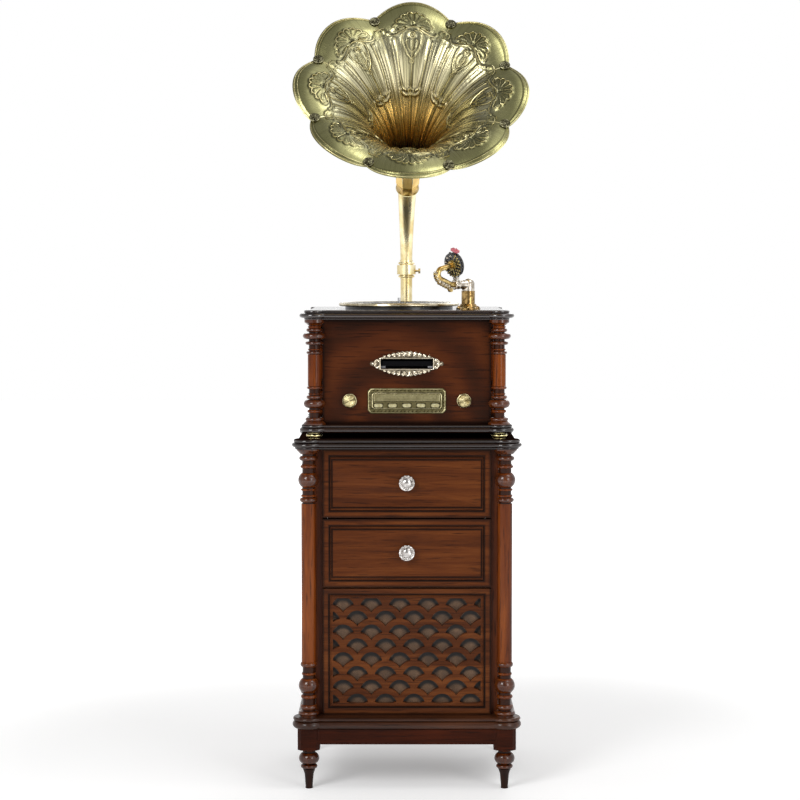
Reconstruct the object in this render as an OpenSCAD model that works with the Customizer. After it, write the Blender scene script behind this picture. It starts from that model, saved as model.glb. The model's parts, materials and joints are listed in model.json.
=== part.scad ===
// Floor-standing record player with a petal horn, a radio and disc player box and a drawer cabinet.
// Units are millimetres. The front faces -Y, +X is to the right and the floor is at Z = 0.

/* [Feet and plinth] */
// Height of a turned foot
foot_h = 97; // [88:1:110]
// Radius of the ball of a foot
foot_ball_r = 25; // [22:0.5:27]
// Height of the corner blocks above the feet
block_h = 52; // [46:1:60]
// Half width of a corner block
block_half = 27; // [25:0.5:30]
// Height of the apron rails between the blocks
apron_h = 38; // [30:1:44]
// Thickness of an apron rail
apron_t = 20; // [14:1:24]
// Thickness of the plinth board
plinth_t = 28; // [24:1:34]

/* [Cabinet] */
// Distance of a cabinet column's axis from the middle, sideways
cab_x = 238; // [234:1:260]
// Distance of a cabinet column's axis from the middle, front to back
cab_y = 200; // [198:1:220]
// Height of the cabinet between plinth and top board
cab_h = 652; // [630:1:700]
// Radius of the round corners of the cabinet's boards
cab_lobe_r = 40; // [36:1:44]
// How far the straight board edges stand behind the round corners
edge_inset = 10; // [6:1:14]
// Radius of the cabinet column's shaft
cab_shaft_r = 17.5; // [15:0.5:19]
// Radius of the vases at the ends of a cabinet column
vase_r = 25; // [22:0.5:26]
// Thickness of the cabinet's top board
cab_top_t = 24; // [20:1:30]
// Width of the drawers and of the grille panel
front_w = 410; // [396:1:412]
// Distance of the cabinet's front face behind the column axes
front_back = -14; // [-16:1:-8]
// Thickness of the cabinet's wall boards
wall_t = 16; // [12:1:20]

/* [Drawers] */
// Height of a drawer front
drawer_h = 167; // [150:1:170]
// Gap round a drawer front
drawer_gap = 3; // [1.5:0.5:4]
// Thickness of a drawer front
drawer_front_t = 20; // [16:1:22]
// Depth of a drawer's box behind its front
drawer_depth = 330; // [250:5:335]
// Thickness of a drawer's box walls
drawer_wall = 10; // [8:1:12]
// Radius of a drawer knob
drawer_knob_r = 19.5; // [14:0.5:24]
// Height of a drawer knob above the middle of its front
drawer_knob_rise = 3; // [0:1:12]
// How far a drawer knob stands out
drawer_knob_out = 24; // [18:1:30]

/* [Speaker grille] */
// Width of the pierced window
grille_w = 360; // [320:1:370]
// Height of the wood above and below the pierced window
grille_rail = 25.5; // [24:0.5:40]
// Sideways spacing of the scales
scale_pitch = 69; // [60:1:80]
// Height from one row of scales to the next
scale_row = 34; // [30:1:40]
// Width of the wood between two openings
scale_band = 14; // [11:0.5:17]
// Thickness of the pierced panel
grille_t = 14; // [10:1:16]
// Radius of the loudspeaker
speaker_r = 100; // [80:1:115]

/* [Player box] */
// Distance of a box column's axis from the middle, sideways
box_x = 223.5; // [222:0.5:236]
// Distance of a box column's axis from the middle, front to back
box_y = 186; // [184:1:196]
// Height of the brass feet under the box
brass_foot_h = 15; // [12:1:20]
// Radius of a brass foot
brass_foot_r = 20; // [16:0.5:22]
// Thickness of the box's bottom board
box_base_t = 19; // [16:1:24]
// Height of the box between its boards
box_h = 254; // [246:1:280]
// Thickness of the box's top board
deck_t = 23; // [20:1:28]
// Radius of the round corners of the box's boards
box_lobe_r = 36; // [33:1:39]
// Radius of the box column's shaft
box_shaft_r = 16; // [13:0.5:18]
// Distance of the box's side faces behind the column axes
box_side_back = 19; // [19:0.5:24]
// Distance of the box's front face behind the column axes
box_front_back = 22; // [22:0.5:26]
// Thickness of the box's walls
box_wall = 15; // [12:1:18]

/* [Disc drawer] */
// Width of the disc slot
slot_w = 127; // [124:1:135]
// Height of the disc slot
slot_h = 24; // [20:1:30]
// Height of the slot's middle above the box's bottom board
slot_z = 146; // [140:1:155]
// Width of the disc slot's bezel
bezel_w = 180; // [165:1:190]
// Height of the disc slot's bezel
bezel_h = 58; // [50:1:64]
// Thickness of the bezel
bezel_t = 4; // [3:0.5:6]
// Width of the disc tray
tray_w = 123; // [121.5:0.5:124]
// Thickness of the disc tray
tray_t = 12; // [10:1:14]
// Length of the disc tray
tray_l = 150; // [140:1:160]

/* [Radio] */
// Width of the radio plate
plate_w = 190; // [180:1:200]
// Height of the radio plate
plate_h = 61; // [56:1:66]
// Thickness of the radio plate
plate_t = 3.5; // [3:0.5:5]
// Height of the plate's middle above the box's bottom board
plate_z = 56; // [50:1:62]
// Width of the dial window
dial_w = 160; // [150:1:166]
// Height of the dial window
dial_h = 18; // [14:0.5:20]
// Spacing of the buttons
button_pitch = 34.6; // [32:0.2:37]
// Width of a button
button_w = 20; // [16:0.5:24]
// Height of a button
button_h = 8.6; // [7:0.2:9.4]
// Travel of a button
button_travel = 2; // [1:0.5:3]
// Radius of a radio knob
knob_r = 17; // [14:0.5:20]
// How far a radio knob stands out
knob_out = 18; // [14:1:22]
// Distance of a radio knob from the middle
knob_x = 139; // [130:1:145]

/* [Turntable] */
// Radius of the platter
platter_r = 150; // [140:1:152]
// Thickness of the platter
platter_t = 8; // [6:1:10]
// Radius of the dark base under the platter
platter_base_r = 134; // [120:1:138]
// Height of the dark base under the platter
platter_base_h = 6; // [5:0.5:8]
// Sideways place of the platter's axis
platter_x = -19; // [-26:1:-12]
// Front to back place of the platter's axis
platter_y = -20; // [-26:1:-14]
// Radius of the spindle's shaft
spindle_r = 4; // [3.5:0.1:5]
// Radius of the large pulley
big_pulley_r = 55; // [45:1:60]
// Radius of the motor's pulley
small_pulley_r = 10; // [8:0.5:14]
// Distance from the spindle to the motor
belt_centres = 95; // [88:1:105]

/* [Tonearm] */
// Sideways place of the tonearm's pillar
arm_x = 150; // [144:1:160]
// Front to back place of the tonearm's pillar
arm_y = -132; // [-140:1:-128]
// Radius of the pillar
pillar_r = 16.5; // [14:0.5:18]
// Height of the tonearm's axis above the top board
arm_rise = 61; // [58:1:70]
// Direction in which the parked tonearm points
arm_dir = 220; // [210:1:230]
// Radius of the tonearm's barrel
barrel_r = 12.5; // [11.5:0.5:13]
// Length from the pillar to the end of the barrel's ring
barrel_l = 48; // [44:1:56]
// Radius of the bend of the gooseneck
goose_r = 13; // [12:0.5:15]
// Radius of the gooseneck's tube
goose_tube_r = 6.5; // [5:0.5:8]
// Length of the gooseneck's lower run
goose_run = 37; // [34:1:42]
// Angle at which the gooseneck rises from the barrel
goose_rise = 22; // [18:1:26]
// Length of the gooseneck's upper run
goose_return = 36; // [34:1:40]
// Angle at which the gooseneck rises back to the soundbox
goose_back = 14; // [10:1:18]
// Radius of the soundbox
soundbox_r = 30; // [26:0.5:30.5]
// Thickness of the soundbox
soundbox_t = 14; // [12:1:18]

/* [Horn] */
// Front to back place of the horn's tube
tube_y = 172; // [168:1:176]
// Radius of the horn's tube
tube_r = 15; // [13:0.5:17]
// Length of the tube above the top board
tube_l = 116; // [100:1:140]
// Radius of the collar on the tube
collar_r = 24; // [21:0.5:27]
// Height of the collar
collar_h = 42; // [36:1:48]
// Radius of the elbow's bend
elbow_bend_r = 230; // [210:1:260]
// Radius of the elbow where it meets the horn
elbow_end_r = 24; // [21:0.5:26]
// Height angle of the horn's axis over the horizontal
horn_tilt = 37.7; // [34:0.1:44]
// Radius of the horn over the petal tips
horn_r = 283; // [260:1:300]
// Length of the horn along its axis, from its foot to the lip's crest
horn_l = 393; // [360:1:420]
// How far the lip curls back at a petal's tip
lip_curl = 16; // [8:1:22]
// How far the seams between the petals fall behind the petals
seam_fall = 36; // [20:1:44]
// Turn of the horn about its own axis
horn_roll = 2.3; // [-4:0.1:4]
// Turn of the horn about its tube, to the right
horn_swing = 1.4; // [-20:0.1:20]
// Number of petals
petals = 8; // [6:1:10]
// Thickness of the horn's sheet
sheet_t = 1.6; // [1.2:0.1:2.5]
// Radius of a rosette
rosette_r = 13; // [10:0.5:15]

/* [Hidden] */
$fn = 64;
eps = 0.01;
// Clearance between pieces of one body, and where a moving piece runs past another
fit = 0.3;
run = 0.06;

// Heights of the stack
plinth_z = foot_h + block_h;
cab_z = plinth_z + plinth_t;
cab_top_z = cab_z + cab_h;
box_foot_z = cab_top_z + cab_top_t;
box_base_z = box_foot_z + brass_foot_h;
box_z = box_base_z + box_base_t;
deck_z = box_z + box_h;
top_z = deck_z + deck_t;

// Cabinet places
front_y = -cab_y - front_back;
back_y = -front_y;
side_out = front_w / 2 + 17;
strip_y = front_y + 48;
stile_set_back = 12;
grille_panel_h = cab_h - 2 * drawer_h - 3 * drawer_gap;
grille_h = grille_panel_h - 2 * grille_rail;
// The window stands a little above the middle of its panel, and the wire cloth reaches past its edges
grille_mid = cab_z + grille_panel_h / 2 + 2;
cloth_t = 1.5;
cloth_side = 10;
cloth_rim = 6;
speaker_mid = cab_z + grille_panel_h / 2;
speaker_board_t = 12;
speaker_y = front_y + grille_t + 4;
shelf_z = cab_z + grille_panel_h - wall_t;
lower_z = cab_z + grille_panel_h + drawer_gap;
upper_z = lower_z + drawer_h + drawer_gap;
groove = 4;
// A drawer's box stands this much above its front's lower edge, and runs on rails of this width
drawer_lift = 6;
runner_w = 36;

// Box places
box_half_w = box_x - box_side_back;
box_front_y = -box_y + box_front_back;
box_back_y = -box_front_y;
slot_mid = box_z + slot_z;
plate_mid = box_z + plate_z;
button_mid = plate_mid - 11.5;
dial_mid = plate_mid + 7.5;
// Opening for the rear plate, its height over the bottom board, and how far the plate's rim covers the edge
inlet_w = 180;
inlet_h = 46;
inlet_z = box_z + 40;
inlet_rim = 6;
inlet_play = 4;
inlet_mid = inlet_z + inlet_h / 2;
// Radii of a drawer knob's screw, a radio knob's shaft and the pillar's bolt, and the play of their holes
screw_r = 3.6;
shaft_r = 3;
arm_bolt_r = 4.8;
screw_play = 0.4;
drive_w = slot_w + 24;
drive_h = slot_h + 20;
drive_l = tray_l + 30;
tray_front = box_front_y + 5;
// Seats of a 120 mm and an 80 mm disc, with their play,
disc_seat_r = 60.4;
small_seat_r = 40.4;
// Distance of their middle from the tray's front
seat_back = 68;

// Circuit board on its posts, by its left front corner, and the transformer beside it
board_at = [-150, 40];
board_w = 170;
board_d = 90;
board_t = 2;
board_post = 8;
transformer_at = [120, 90];

// Turntable places
platter_z = top_z + platter_base_h + 0.5;
mat_t = 2.5;
mat_top = platter_z + platter_t - 2 + mat_t;
pin_r = 3.55;
pin_l = 12;
pulley_z = deck_z - 44;
pulley_t = 10;
motor_dir = 200;
motor_at = [platter_x + belt_centres * cos(motor_dir), platter_y + belt_centres * sin(motor_dir)];
bush_r = 13;
bush_z = pulley_z + pulley_t + 4;

// Tonearm places
arm_z = top_z + arm_rise;
pillar_top = arm_z - barrel_r - 3;
// The gooseneck's bend, in the plane of the arm: where it starts, its centre, its turn and its end
goose_knee = barrel_l + goose_tube_r + 0.5;
bend_start = [goose_knee, 0] + goose_run * [cos(goose_rise), sin(goose_rise)];
bend_mid = bend_start + goose_r * [-sin(goose_rise), cos(goose_rise)];
bend_turn = 180 - goose_rise - goose_back;
bend_end = bend_mid + goose_r * [sin(goose_back), cos(goose_back)];
soundbox_mid = bend_end + (goose_return + soundbox_t / 2) * [-cos(goose_back), sin(goose_back)];

// Horn places
tube_top = top_z + tube_l;
elbow_turn = 90 - horn_tilt;
elbow_z = tube_top + 4;
tube_seat = 14;
// The elbow's plug turns in the collar, above the end of the tube
plug_l = 10;
tube_end = tube_top - plug_l - 1;
throat = [0, -elbow_bend_r * (1 - cos(elbow_turn)), elbow_z + elbow_bend_r * sin(elbow_turn)];
// Height of the rosettes' backs over the notches, which clears the sheet
rosette_lift = 5.5;
skirt_l = 34;
skirt_r = elbow_end_r + 4;
// Radius of the mouth at the notches between the petals, as a share of the radius over their tips
notch = 0.9;

column_colour = [0.36, 0.16, 0.08];
board_colour = [0.14, 0.08, 0.07];
panel_colour = [0.3, 0.12, 0.06];
drawer_colour = [0.4, 0.2, 0.09];
brass = [0.76, 0.68, 0.42];
silver = [0.82, 0.8, 0.74];
dark = [0.08, 0.08, 0.08];
grey = [0.45, 0.46, 0.48];

// One turned bead, seen in half section: its middle height, its radius and half its height
module bead(z, r, half) {
    flat = max(r - half, 0);
    translate([flat, z]) circle(r = min(half, r));
    if (flat > 0) translate([0, z - half]) square([flat, 2 * half]);
}

// A turned shape from beads, each with its height over the foot of the shape
module turned(height, core_r, beads) {
    rotate_extrude() intersection() {
        square([200, height]);
        union() {
            square([core_r, height]);
            for (b = beads) bead(b[0], b[1], b[2]);
            children();
        }
    }
}

// A board with round corners on the column axes, its edge built from beads with their insets
module lobed_board(x, y, lobe_r, steps) {
    for (axis = [0, 1]) {
        reach = (axis == 0 ? y : x) + lobe_r - edge_inset;
        length = 2 * (axis == 0 ? x : y);
        rotate([90, 0, axis == 0 ? 90 : 0]) linear_extrude(length, center = true)
            for (s = steps) {
                half = (s[1] - s[0]) / 2;
                square_w = 2 * (reach - s[2] - half);
                translate([-square_w / 2, s[0]]) square([square_w, 2 * half]);
                for (side = [-1, 1]) translate([side * square_w / 2, s[0] + half]) circle(r = half);
            }
    }
    corners(x, y) rotate_extrude() intersection() {
        square(200);
        for (s = steps) bead((s[0] + s[1]) / 2, lobe_r - s[2], (s[1] - s[0]) / 2);
    }
}

module corners(x, y) {
    for (sx = [-1, 1]) for (sy = [-1, 1]) translate([sx * x, sy * y, 0]) children();
}

// A box by its lowest corner and its size
module block(at, size) {
    translate(at) cube(size);
}

// Rounded strip in the XZ plane, its middle at the origin
module stadium(w, h) {
    r = h / 2 - eps;
    square([w - h, h], center = true);
    for (side = [-1, 1]) translate([side * (w - h) / 2, 0]) circle(r = r);
}

// Extrudes a drawing of the front view backwards from y
module from_front(y, t) {
    translate([0, y + t, 0]) rotate([90, 0, 0]) linear_extrude(t) children();
}

module turned_feet() {
    color(column_colour) corners(cab_x, cab_y)
        turned(foot_h, 8.2, [
            [foot_h - 2.6, 17.5, 2.6],
            [foot_h - 23, foot_ball_r, 14.5],
            [foot_h - 43, 20.5, 4.2]]) {
            polygon([[0, 0], [8.2, 0], [11, foot_h * 0.36], [15.2, foot_h * 0.49], [0, foot_h * 0.49]]);
            square([9, 3]);
            translate([0, foot_h - 9]) square([15.5, 6]);
        }
}

module base_frame() {
    // middle of a rail, which stands back behind the blocks' faces
    rail = block_half - apron_t / 2 - 6;
    color(board_colour) {
        corners(cab_x, cab_y) translate([0, 0, foot_h]) corner_block();
        for (side = [-1, 1]) {
            block([-cab_x, side * (cab_y + rail) - apron_t / 2, plinth_z - apron_h],
                [2 * cab_x, apron_t, apron_h]);
            block([side * (cab_x + rail) - apron_t / 2, -cab_y, plinth_z - apron_h],
                [apron_t, 2 * cab_y, apron_h]);
        }
    }
}

// Square block with planed corners
module corner_block() {
    linear_extrude(block_h) cut_rectangle(2 * block_half, 2 * block_half, 9);
}

module plinth_board() {
    color(board_colour) translate([0, 0, plinth_z])
        lobed_board(cab_x, cab_y, cab_lobe_r, [[0, plinth_t - 9, 0], [plinth_t - 9, plinth_t, 1.5]]);
}

module cabinet_columns() {
    h = cab_h;
    color(column_colour) translate([0, 0, cab_z]) corners(cab_x, cab_y)
        turned(h, 15, [
            [8, 26, 5], [22.5, 21.5, 6], [48, 19.5, 4.5], [75.5, vase_r, 20.5],
            [104, 17.3, 4], [127, 20.5, 6],
            [h - 23, 22.5, 5.5], [h - 43, 19.4, 3.5], [h - 38, 16.3, 2],
            [h - 75.5, vase_r, 20.5], [h - 99, 18.2, 2.5],
            [h - 114, 18, 3], [h - 124, 21.3, 5]]) {
            translate([0, 133]) square([cab_shaft_r, h - 266]);
            polygon([[0, h - 12], [20.5, h - 12], [29, h - 3], [29, h], [0, h]]);
            square([22, 6]);
        }
}

module cabinet_sides() {
    color(panel_colour) for (side = [-1, 1]) difference() {
        union() {
            block([side > 0 ? side_out - wall_t : -side_out, strip_y, cab_z], [wall_t, -2 * strip_y, cab_h]);
            // dark stiles beside the front and the back, set back behind the columns
            for (y = [front_y + stile_set_back, -strip_y])
                block([side > 0 ? front_w / 2 + fit : -side_out, y, cab_z],
                    [side_out - front_w / 2 - fit, strip_y - front_y - stile_set_back, cab_h]);
        }
        // raised field of the side, cut as a groove round it
        translate([side * side_out, 0, cab_z + cab_h / 2]) for (grow = [0, 14])
            difference() {
                cube([2 * groove - grow / 4, -2 * strip_y - 70 - grow, cab_h - 80 - grow], center = true);
                cube([4 * groove, -2 * strip_y - 78 - grow, cab_h - 88 - grow], center = true);
            }
    }
}

module cabinet_back() {
    color(panel_colour) difference() {
        block([-front_w / 2 + fit, back_y - wall_t - fit, cab_z], [front_w - 2 * fit, wall_t, cab_h]);
        // vent slots behind the loudspeaker
        for (row = [0 : 5]) translate([0, back_y, cab_z + 90 + row * 22])
            rotate([90, 0, 0]) linear_extrude(200, center = true) stadium(120, 8);
    }
}

// Rails that the drawers slide on, fixed to the cabinet's sides
module drawer_runners() {
    color([0.55, 0.4, 0.25]) for (z = [lower_z, upper_z]) for (side = [-1, 1])
        block([side > 0 ? side_out - wall_t - runner_w : -side_out + wall_t, strip_y, z - drawer_gap],
            [runner_w, -2 * strip_y, drawer_gap + drawer_lift - fit]);
}

// Groove round a drawer front, drawn in the front view
module groove_frame(w, h, line) {
    difference() {
        square([w, h], center = true);
        square([w - 2 * line, h - 2 * line], center = true);
    }
}

module drawer_front(z) {
    color(drawer_colour) difference() {
        block([-front_w / 2 + fit, front_y, z], [front_w - 2 * fit, drawer_front_t, drawer_h]);
        translate([0, 0, z + drawer_h / 2]) {
            from_front(front_y - eps, groove) groove_frame(front_w - 34, drawer_h - 32, 3);
            from_front(front_y - eps, groove / 2) groove_frame(front_w - 46, drawer_h - 50, 2);
        }
        drawer_bore(z);
    }
}

// Hole for the knob's screw
module drawer_bore(z) {
    translate([0, front_y - eps, z + drawer_h / 2 + drawer_knob_rise]) rotate([-90, 0, 0])
        cylinder(r = screw_r + screw_play, h = drawer_front_t + drawer_wall + 1);
}

module drawer_box(z) {
    w = front_w - 40;
    h = drawer_h - 45;
    y = front_y + drawer_front_t;
    color([0.62, 0.48, 0.32]) difference() {
        block([-w / 2, y, z + drawer_lift], [w, drawer_depth, h]);
        block([-w / 2 + drawer_wall, y + drawer_wall, z + 2 * drawer_lift],
            [w - 2 * drawer_wall, drawer_depth - 2 * drawer_wall, h]);
        drawer_bore(z);
    }
}

module drawer_knob(z) {
    color(silver) translate([0, front_y, z + drawer_h / 2 + drawer_knob_rise]) rotate([90, 0, 0]) {
        rotate_extrude() intersection() {
            square([60, drawer_knob_out]);
            union() {
                square([drawer_knob_r * 0.8, 3]);
                square([7, drawer_knob_out]);
                bead(drawer_knob_out - 9, drawer_knob_r, 4);
                translate([0, drawer_knob_out - 16]) circle(r = 16);
            }
        }
        for (a = [0 : 30 : 330]) rotate(a) translate([drawer_knob_r * 0.72, 0, drawer_knob_out - 6])
            sphere(r = 3);
        translate([0, 0, -drawer_front_t - drawer_wall + 4])
            cylinder(r = screw_r, h = drawer_front_t + drawer_wall);
    }
}

module upper_drawer_front() { drawer_front(upper_z); }
module upper_drawer_box() { drawer_box(upper_z); }
module upper_drawer_knob() { drawer_knob(upper_z); }
module lower_drawer_front() { drawer_front(lower_z); }
module lower_drawer_box() { drawer_box(lower_z); }
module lower_drawer_knob() { drawer_knob(lower_z); }

// One opening of the fish-scale piercing: a round top and two hollow sides that meet in a point
module scale_gap() {
    outer = scale_pitch / 2;
    difference() {
        circle(r = outer - scale_band / 2);
        for (side = [-1, 1]) translate([side * outer, -scale_row]) circle(r = outer + scale_band / 2);
    }
}

module scale_pattern() {
    columns = ceil(grille_w / scale_pitch / 2) + 1;
    rows = ceil(grille_h / scale_row / 2) + 1;
    intersection() {
        square([grille_w, grille_h], center = true);
        for (row = [-rows : rows]) for (column = [-columns : columns])
            translate([(column + 0.25 - (abs(row) % 2) / 2) * scale_pitch, (row + 0.1) * scale_row])
                scale_gap();
    }
}

module grille_panel() {
    color(panel_colour) difference() {
        block([-front_w / 2 + fit, front_y, cab_z], [front_w - 2 * fit, grille_t, grille_panel_h - fit]);
        translate([0, 0, grille_mid]) {
            from_front(front_y - eps, grille_t + 2 * eps) scale_pattern();
            from_front(front_y - eps, groove) groove_frame(grille_w + 20, grille_h + 20, 3);
        }
    }
}

module grille_mesh() {
    h = grille_h + 2 * cloth_rim;
    color([0.6, 0.5, 0.34]) block([-grille_w / 2 - cloth_side, front_y + grille_t, grille_mid - h / 2],
        [grille_w + 2 * cloth_side, cloth_t, h]);
}

// Shelf under the drawers, and the board that holds the loudspeaker
module inner_boards() {
    color([0.5, 0.38, 0.24]) {
        block([-front_w / 2 + fit, front_y + grille_t + fit, shelf_z],
            [front_w - 2 * fit, 2 * back_y - grille_t - wall_t - 3 * fit, wall_t]);
        difference() {
            block([-front_w / 2 + fit, speaker_y, cab_z],
                [front_w - 2 * fit, speaker_board_t, shelf_z - cab_z - fit]);
            translate([0, speaker_y - 1, speaker_mid]) rotate([-90, 0, 0])
                cylinder(r = speaker_r - 10, h = speaker_board_t + 2);
        }
    }
}

module speaker_basket() {
    color(dark) translate([0, speaker_y + speaker_board_t + fit, speaker_mid]) rotate([-90, 0, 0]) {
        rotate_extrude() polygon([[speaker_r - 14, 0], [speaker_r, 0], [speaker_r, 3], [speaker_r - 10, 3],
            [38, 62], [38, 66], [32, 66], [32, 59], [speaker_r - 14, 3]]);
        translate([0, 0, 66]) cylinder(r = 45, h = 22);
        translate([0, 0, 88]) cylinder(r = 38, h = 6);
    }
}

module speaker_cone() {
    color([0.2, 0.2, 0.2]) translate([0, speaker_y + speaker_board_t + fit, speaker_mid]) rotate([-90, 0, 0])
        rotate_extrude() polygon([[speaker_r - 14 - fit, 0], [speaker_r - 22, 0], [24, 48], [0, 40], [0, 43],
            [24, 52], [speaker_r - 22, 3], [speaker_r - 14 - fit, 3]]);
}

module cabinet_top() {
    color(board_colour) translate([0, 0, cab_top_z])
        lobed_board(cab_x, cab_y, cab_lobe_r,
            [[0, 5, 7], [5, cab_top_t - 9, 0], [cab_top_t - 9, cab_top_t, 4]]);
}

module brass_feet() {
    color(brass) translate([0, 0, box_foot_z]) corners(box_x, box_y)
        turned(brass_foot_h, brass_foot_r - 4, [[brass_foot_h / 2, brass_foot_r, brass_foot_h / 2 - 1.5]]);
}

module box_bottom() {
    color(board_colour) translate([0, 0, box_base_z])
        lobed_board(box_x, box_y, box_lobe_r, [[0, box_base_t - 7, 0], [box_base_t - 7, box_base_t, 4]]);
}

module box_columns() {
    h = box_h;
    color(column_colour) translate([0, 0, box_z]) corners(box_x, box_y)
        turned(h, 13.3, [
            [12.5, 22.5, 4.5], [32, 17.7, 3.5], [50, 26.4, 10], [66, 19.4, 4], [74, 15, 2.5], [89, 18.2, 3],
            [h - 80, 19.4, 3], [h - 72.5, 15.5, 2], [h - 57, 21.8, 4],
            [h - 40, 28, 7], [h - 25.5, 19.4, 4], [h - 18, 15.7, 2.5]]) {
            translate([0, 93]) square([box_shaft_r, h - 177]);
            polygon([[0, 0], [27.3, 0], [27.3, 3], [20, 9], [0, 9]]);
            polygon([[0, h - 14], [14.5, h - 14], [24, h - 7], [24, h], [0, h]]);
        }
}

module box_front() {
    color(panel_colour) difference() {
        block([-box_half_w, box_front_y, box_z], [2 * box_half_w, box_wall, box_h]);
        // openings for the disc slot, the radio and the knobs' shafts
        block([-slot_w / 2, box_front_y - 1, slot_mid - slot_h / 2], [slot_w, box_wall + 2, slot_h]);
        block([-plate_w / 2 + 12, box_front_y - 1, plate_mid - plate_h / 2 + 8],
            [plate_w - 24, box_wall + 2, plate_h - 16]);
        for (side = [-1, 1]) translate([side * knob_x, box_front_y - 1, plate_mid]) rotate([-90, 0, 0])
            cylinder(r = shaft_r + 2, h = box_wall + 2);
    }
}

module box_sides() {
    y = box_front_y + box_wall + fit;
    color(panel_colour) for (side = [-1, 1]) difference() {
        block([side > 0 ? box_half_w - box_wall : -box_half_w, y, box_z], [box_wall, -2 * y, box_h]);
        translate([side * box_half_w, 0, box_z + box_h / 2]) difference() {
            cube([2 * groove, -2 * y - 60, box_h - 60], center = true);
            cube([4 * groove, -2 * y - 68, box_h - 68], center = true);
        }
    }
}

module box_back() {
    color(panel_colour) difference() {
        block([-box_half_w, box_back_y - box_wall, box_z], [2 * box_half_w, box_wall, box_h]);
        block([-inlet_w / 2, box_back_y - box_wall - 1, inlet_z], [inlet_w, box_wall + 2, inlet_h]);
        for (row = [0 : 4]) translate([0, box_back_y, box_z + 130 + row * 18])
            rotate([90, 0, 0]) linear_extrude(100, center = true) stadium(150, 7);
    }
}

// Rear connection plate with an inlet, a fuse cap and four sockets
module rear_plate() {
    y = box_back_y - box_wall;
    color(dark) difference() {
        union() {
            block([-inlet_w / 2 - inlet_rim, box_back_y + fit, inlet_z - inlet_rim],
                [inlet_w + 2 * inlet_rim, 2, inlet_h + 2 * inlet_rim]);
            block([-inlet_w / 2 + inlet_play, y, inlet_z + inlet_play],
                [inlet_w - 2 * inlet_play, box_wall + fit + 1, inlet_h - 2 * inlet_play]);
        }
        block([-74, y + 4, inlet_mid - 13], [30, 30, 24]);
        for (i = [0 : 3]) translate([10 + 18 * i, y + 6, inlet_mid]) rotate([-90, 0, 0])
            cylinder(r = 5, h = 30);
        translate([-20, y + 6, inlet_mid]) rotate([-90, 0, 0]) cylinder(r = 7, h = 30);
    }
    for (x = [-66, -55]) color(silver) block([x, y + 4 - eps, inlet_mid - 5], [2, 10, 8]);
}

module deck() {
    color(board_colour) difference() {
        translate([0, 0, deck_z]) lobed_board(box_x, box_y, box_lobe_r,
            [[0, 4, 11], [4, deck_t - 8, 0], [deck_t - 8, deck_t, 11]]);
        translate([platter_x, platter_y, deck_z - 1]) cylinder(r = bush_r, h = deck_t + 2);
        translate([0, tube_y, top_z - tube_seat]) cylinder(r = tube_r + fit, h = deck_t);
        translate([arm_x, arm_y, deck_z - 1]) cylinder(r = arm_bolt_r + screw_play / 2, h = deck_t + 2);
    }
}

// Pointed oval of the disc slot's bezel with a scalloped leaf edge
module bezel_outline() {
    a = bezel_w / 2 - 6;
    b = bezel_h / 2 - 5;
    big = (a * a + b * b) / (2 * b);
    turn = asin(a / big);
    intersection() {
        translate([0, b - big]) circle(r = big);
        translate([0, big - b]) circle(r = big);
    }
    for (flip = [0, 1]) mirror([0, flip]) for (i = [-7 : 7])
        translate([0, b - big]) rotate(-i * turn / 8) translate([0, big]) circle(r = 6.5 - abs(i) * 0.25);
    for (side = [-1, 1]) translate([side * (bezel_w / 2 - 6), 0]) circle(r = 5);
}

module disc_bezel() {
    a = bezel_w / 2 - 6;
    b = bezel_h / 2 - 5;
    big = (a * a + b * b) / (2 * b);
    turn = asin(a / big);
    color(silver) translate([0, 0, slot_mid]) difference() {
        union() {
            from_front(box_front_y - bezel_t + 1.5, bezel_t - 1.5) bezel_outline();
            // raised scroll bosses round the slot
            for (flip = [-1, 1]) for (i = [-6 : 6])
                translate([big * sin(i * turn / 7), box_front_y - bezel_t + 1.5,
                    flip * (b - 1.5 - big * (1 - cos(i * turn / 7)))])
                    rotate([90, 0, 0]) cylinder(r = 3.4, h = 1.5);
            from_front(box_front_y - bezel_t, bezel_t) square([slot_w + 5, slot_h + 5], center = true);
        }
        block([-slot_w / 2, box_front_y - bezel_t - 1, -slot_h / 2], [slot_w, bezel_t + 2, slot_h]);
    }
}

// Sliding tray with a dished seat for a 120 mm disc
module disc_tray() {
    color(dark) difference() {
        union() {
            block([-tray_w / 2, tray_front, slot_mid - tray_t / 2], [tray_w, tray_l, tray_t - 3]);
            block([-tray_w / 2, tray_front, slot_mid - tray_t / 2], [tray_w, 3, tray_t]);
        }
        translate([0, tray_front + seat_back, slot_mid + 1]) cylinder(r = disc_seat_r, h = tray_t);
        translate([0, tray_front + seat_back, slot_mid - 1.2]) cylinder(r = small_seat_r, h = tray_t);
    }
}

module disc_drive() {
    y = box_front_y + box_wall + fit;
    color(grey) difference() {
        block([-drive_w / 2, y, slot_mid - drive_h / 2], [drive_w, drive_l, drive_h]);
        block([-slot_w / 2, y - 1, slot_mid - slot_h / 2], [slot_w, tray_l + 16, slot_h]);
    }
    // guide rails that carry the tray
    color(dark) for (side = [-1, 1])
        block([side > 0 ? slot_w / 2 - 12 : -slot_w / 2 - eps, y, slot_mid - slot_h / 2 - eps],
            [12 + eps, tray_l, slot_h / 2 - tray_t / 2 - fit + eps]);
    // legs down to the bottom board
    color(grey) for (side = [-1, 1])
        block([side > 0 ? drive_w / 2 - 12 : -drive_w / 2, y + drive_l - 14, box_z],
            [12, 12, slot_z - drive_h / 2 + eps]);
}

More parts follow.
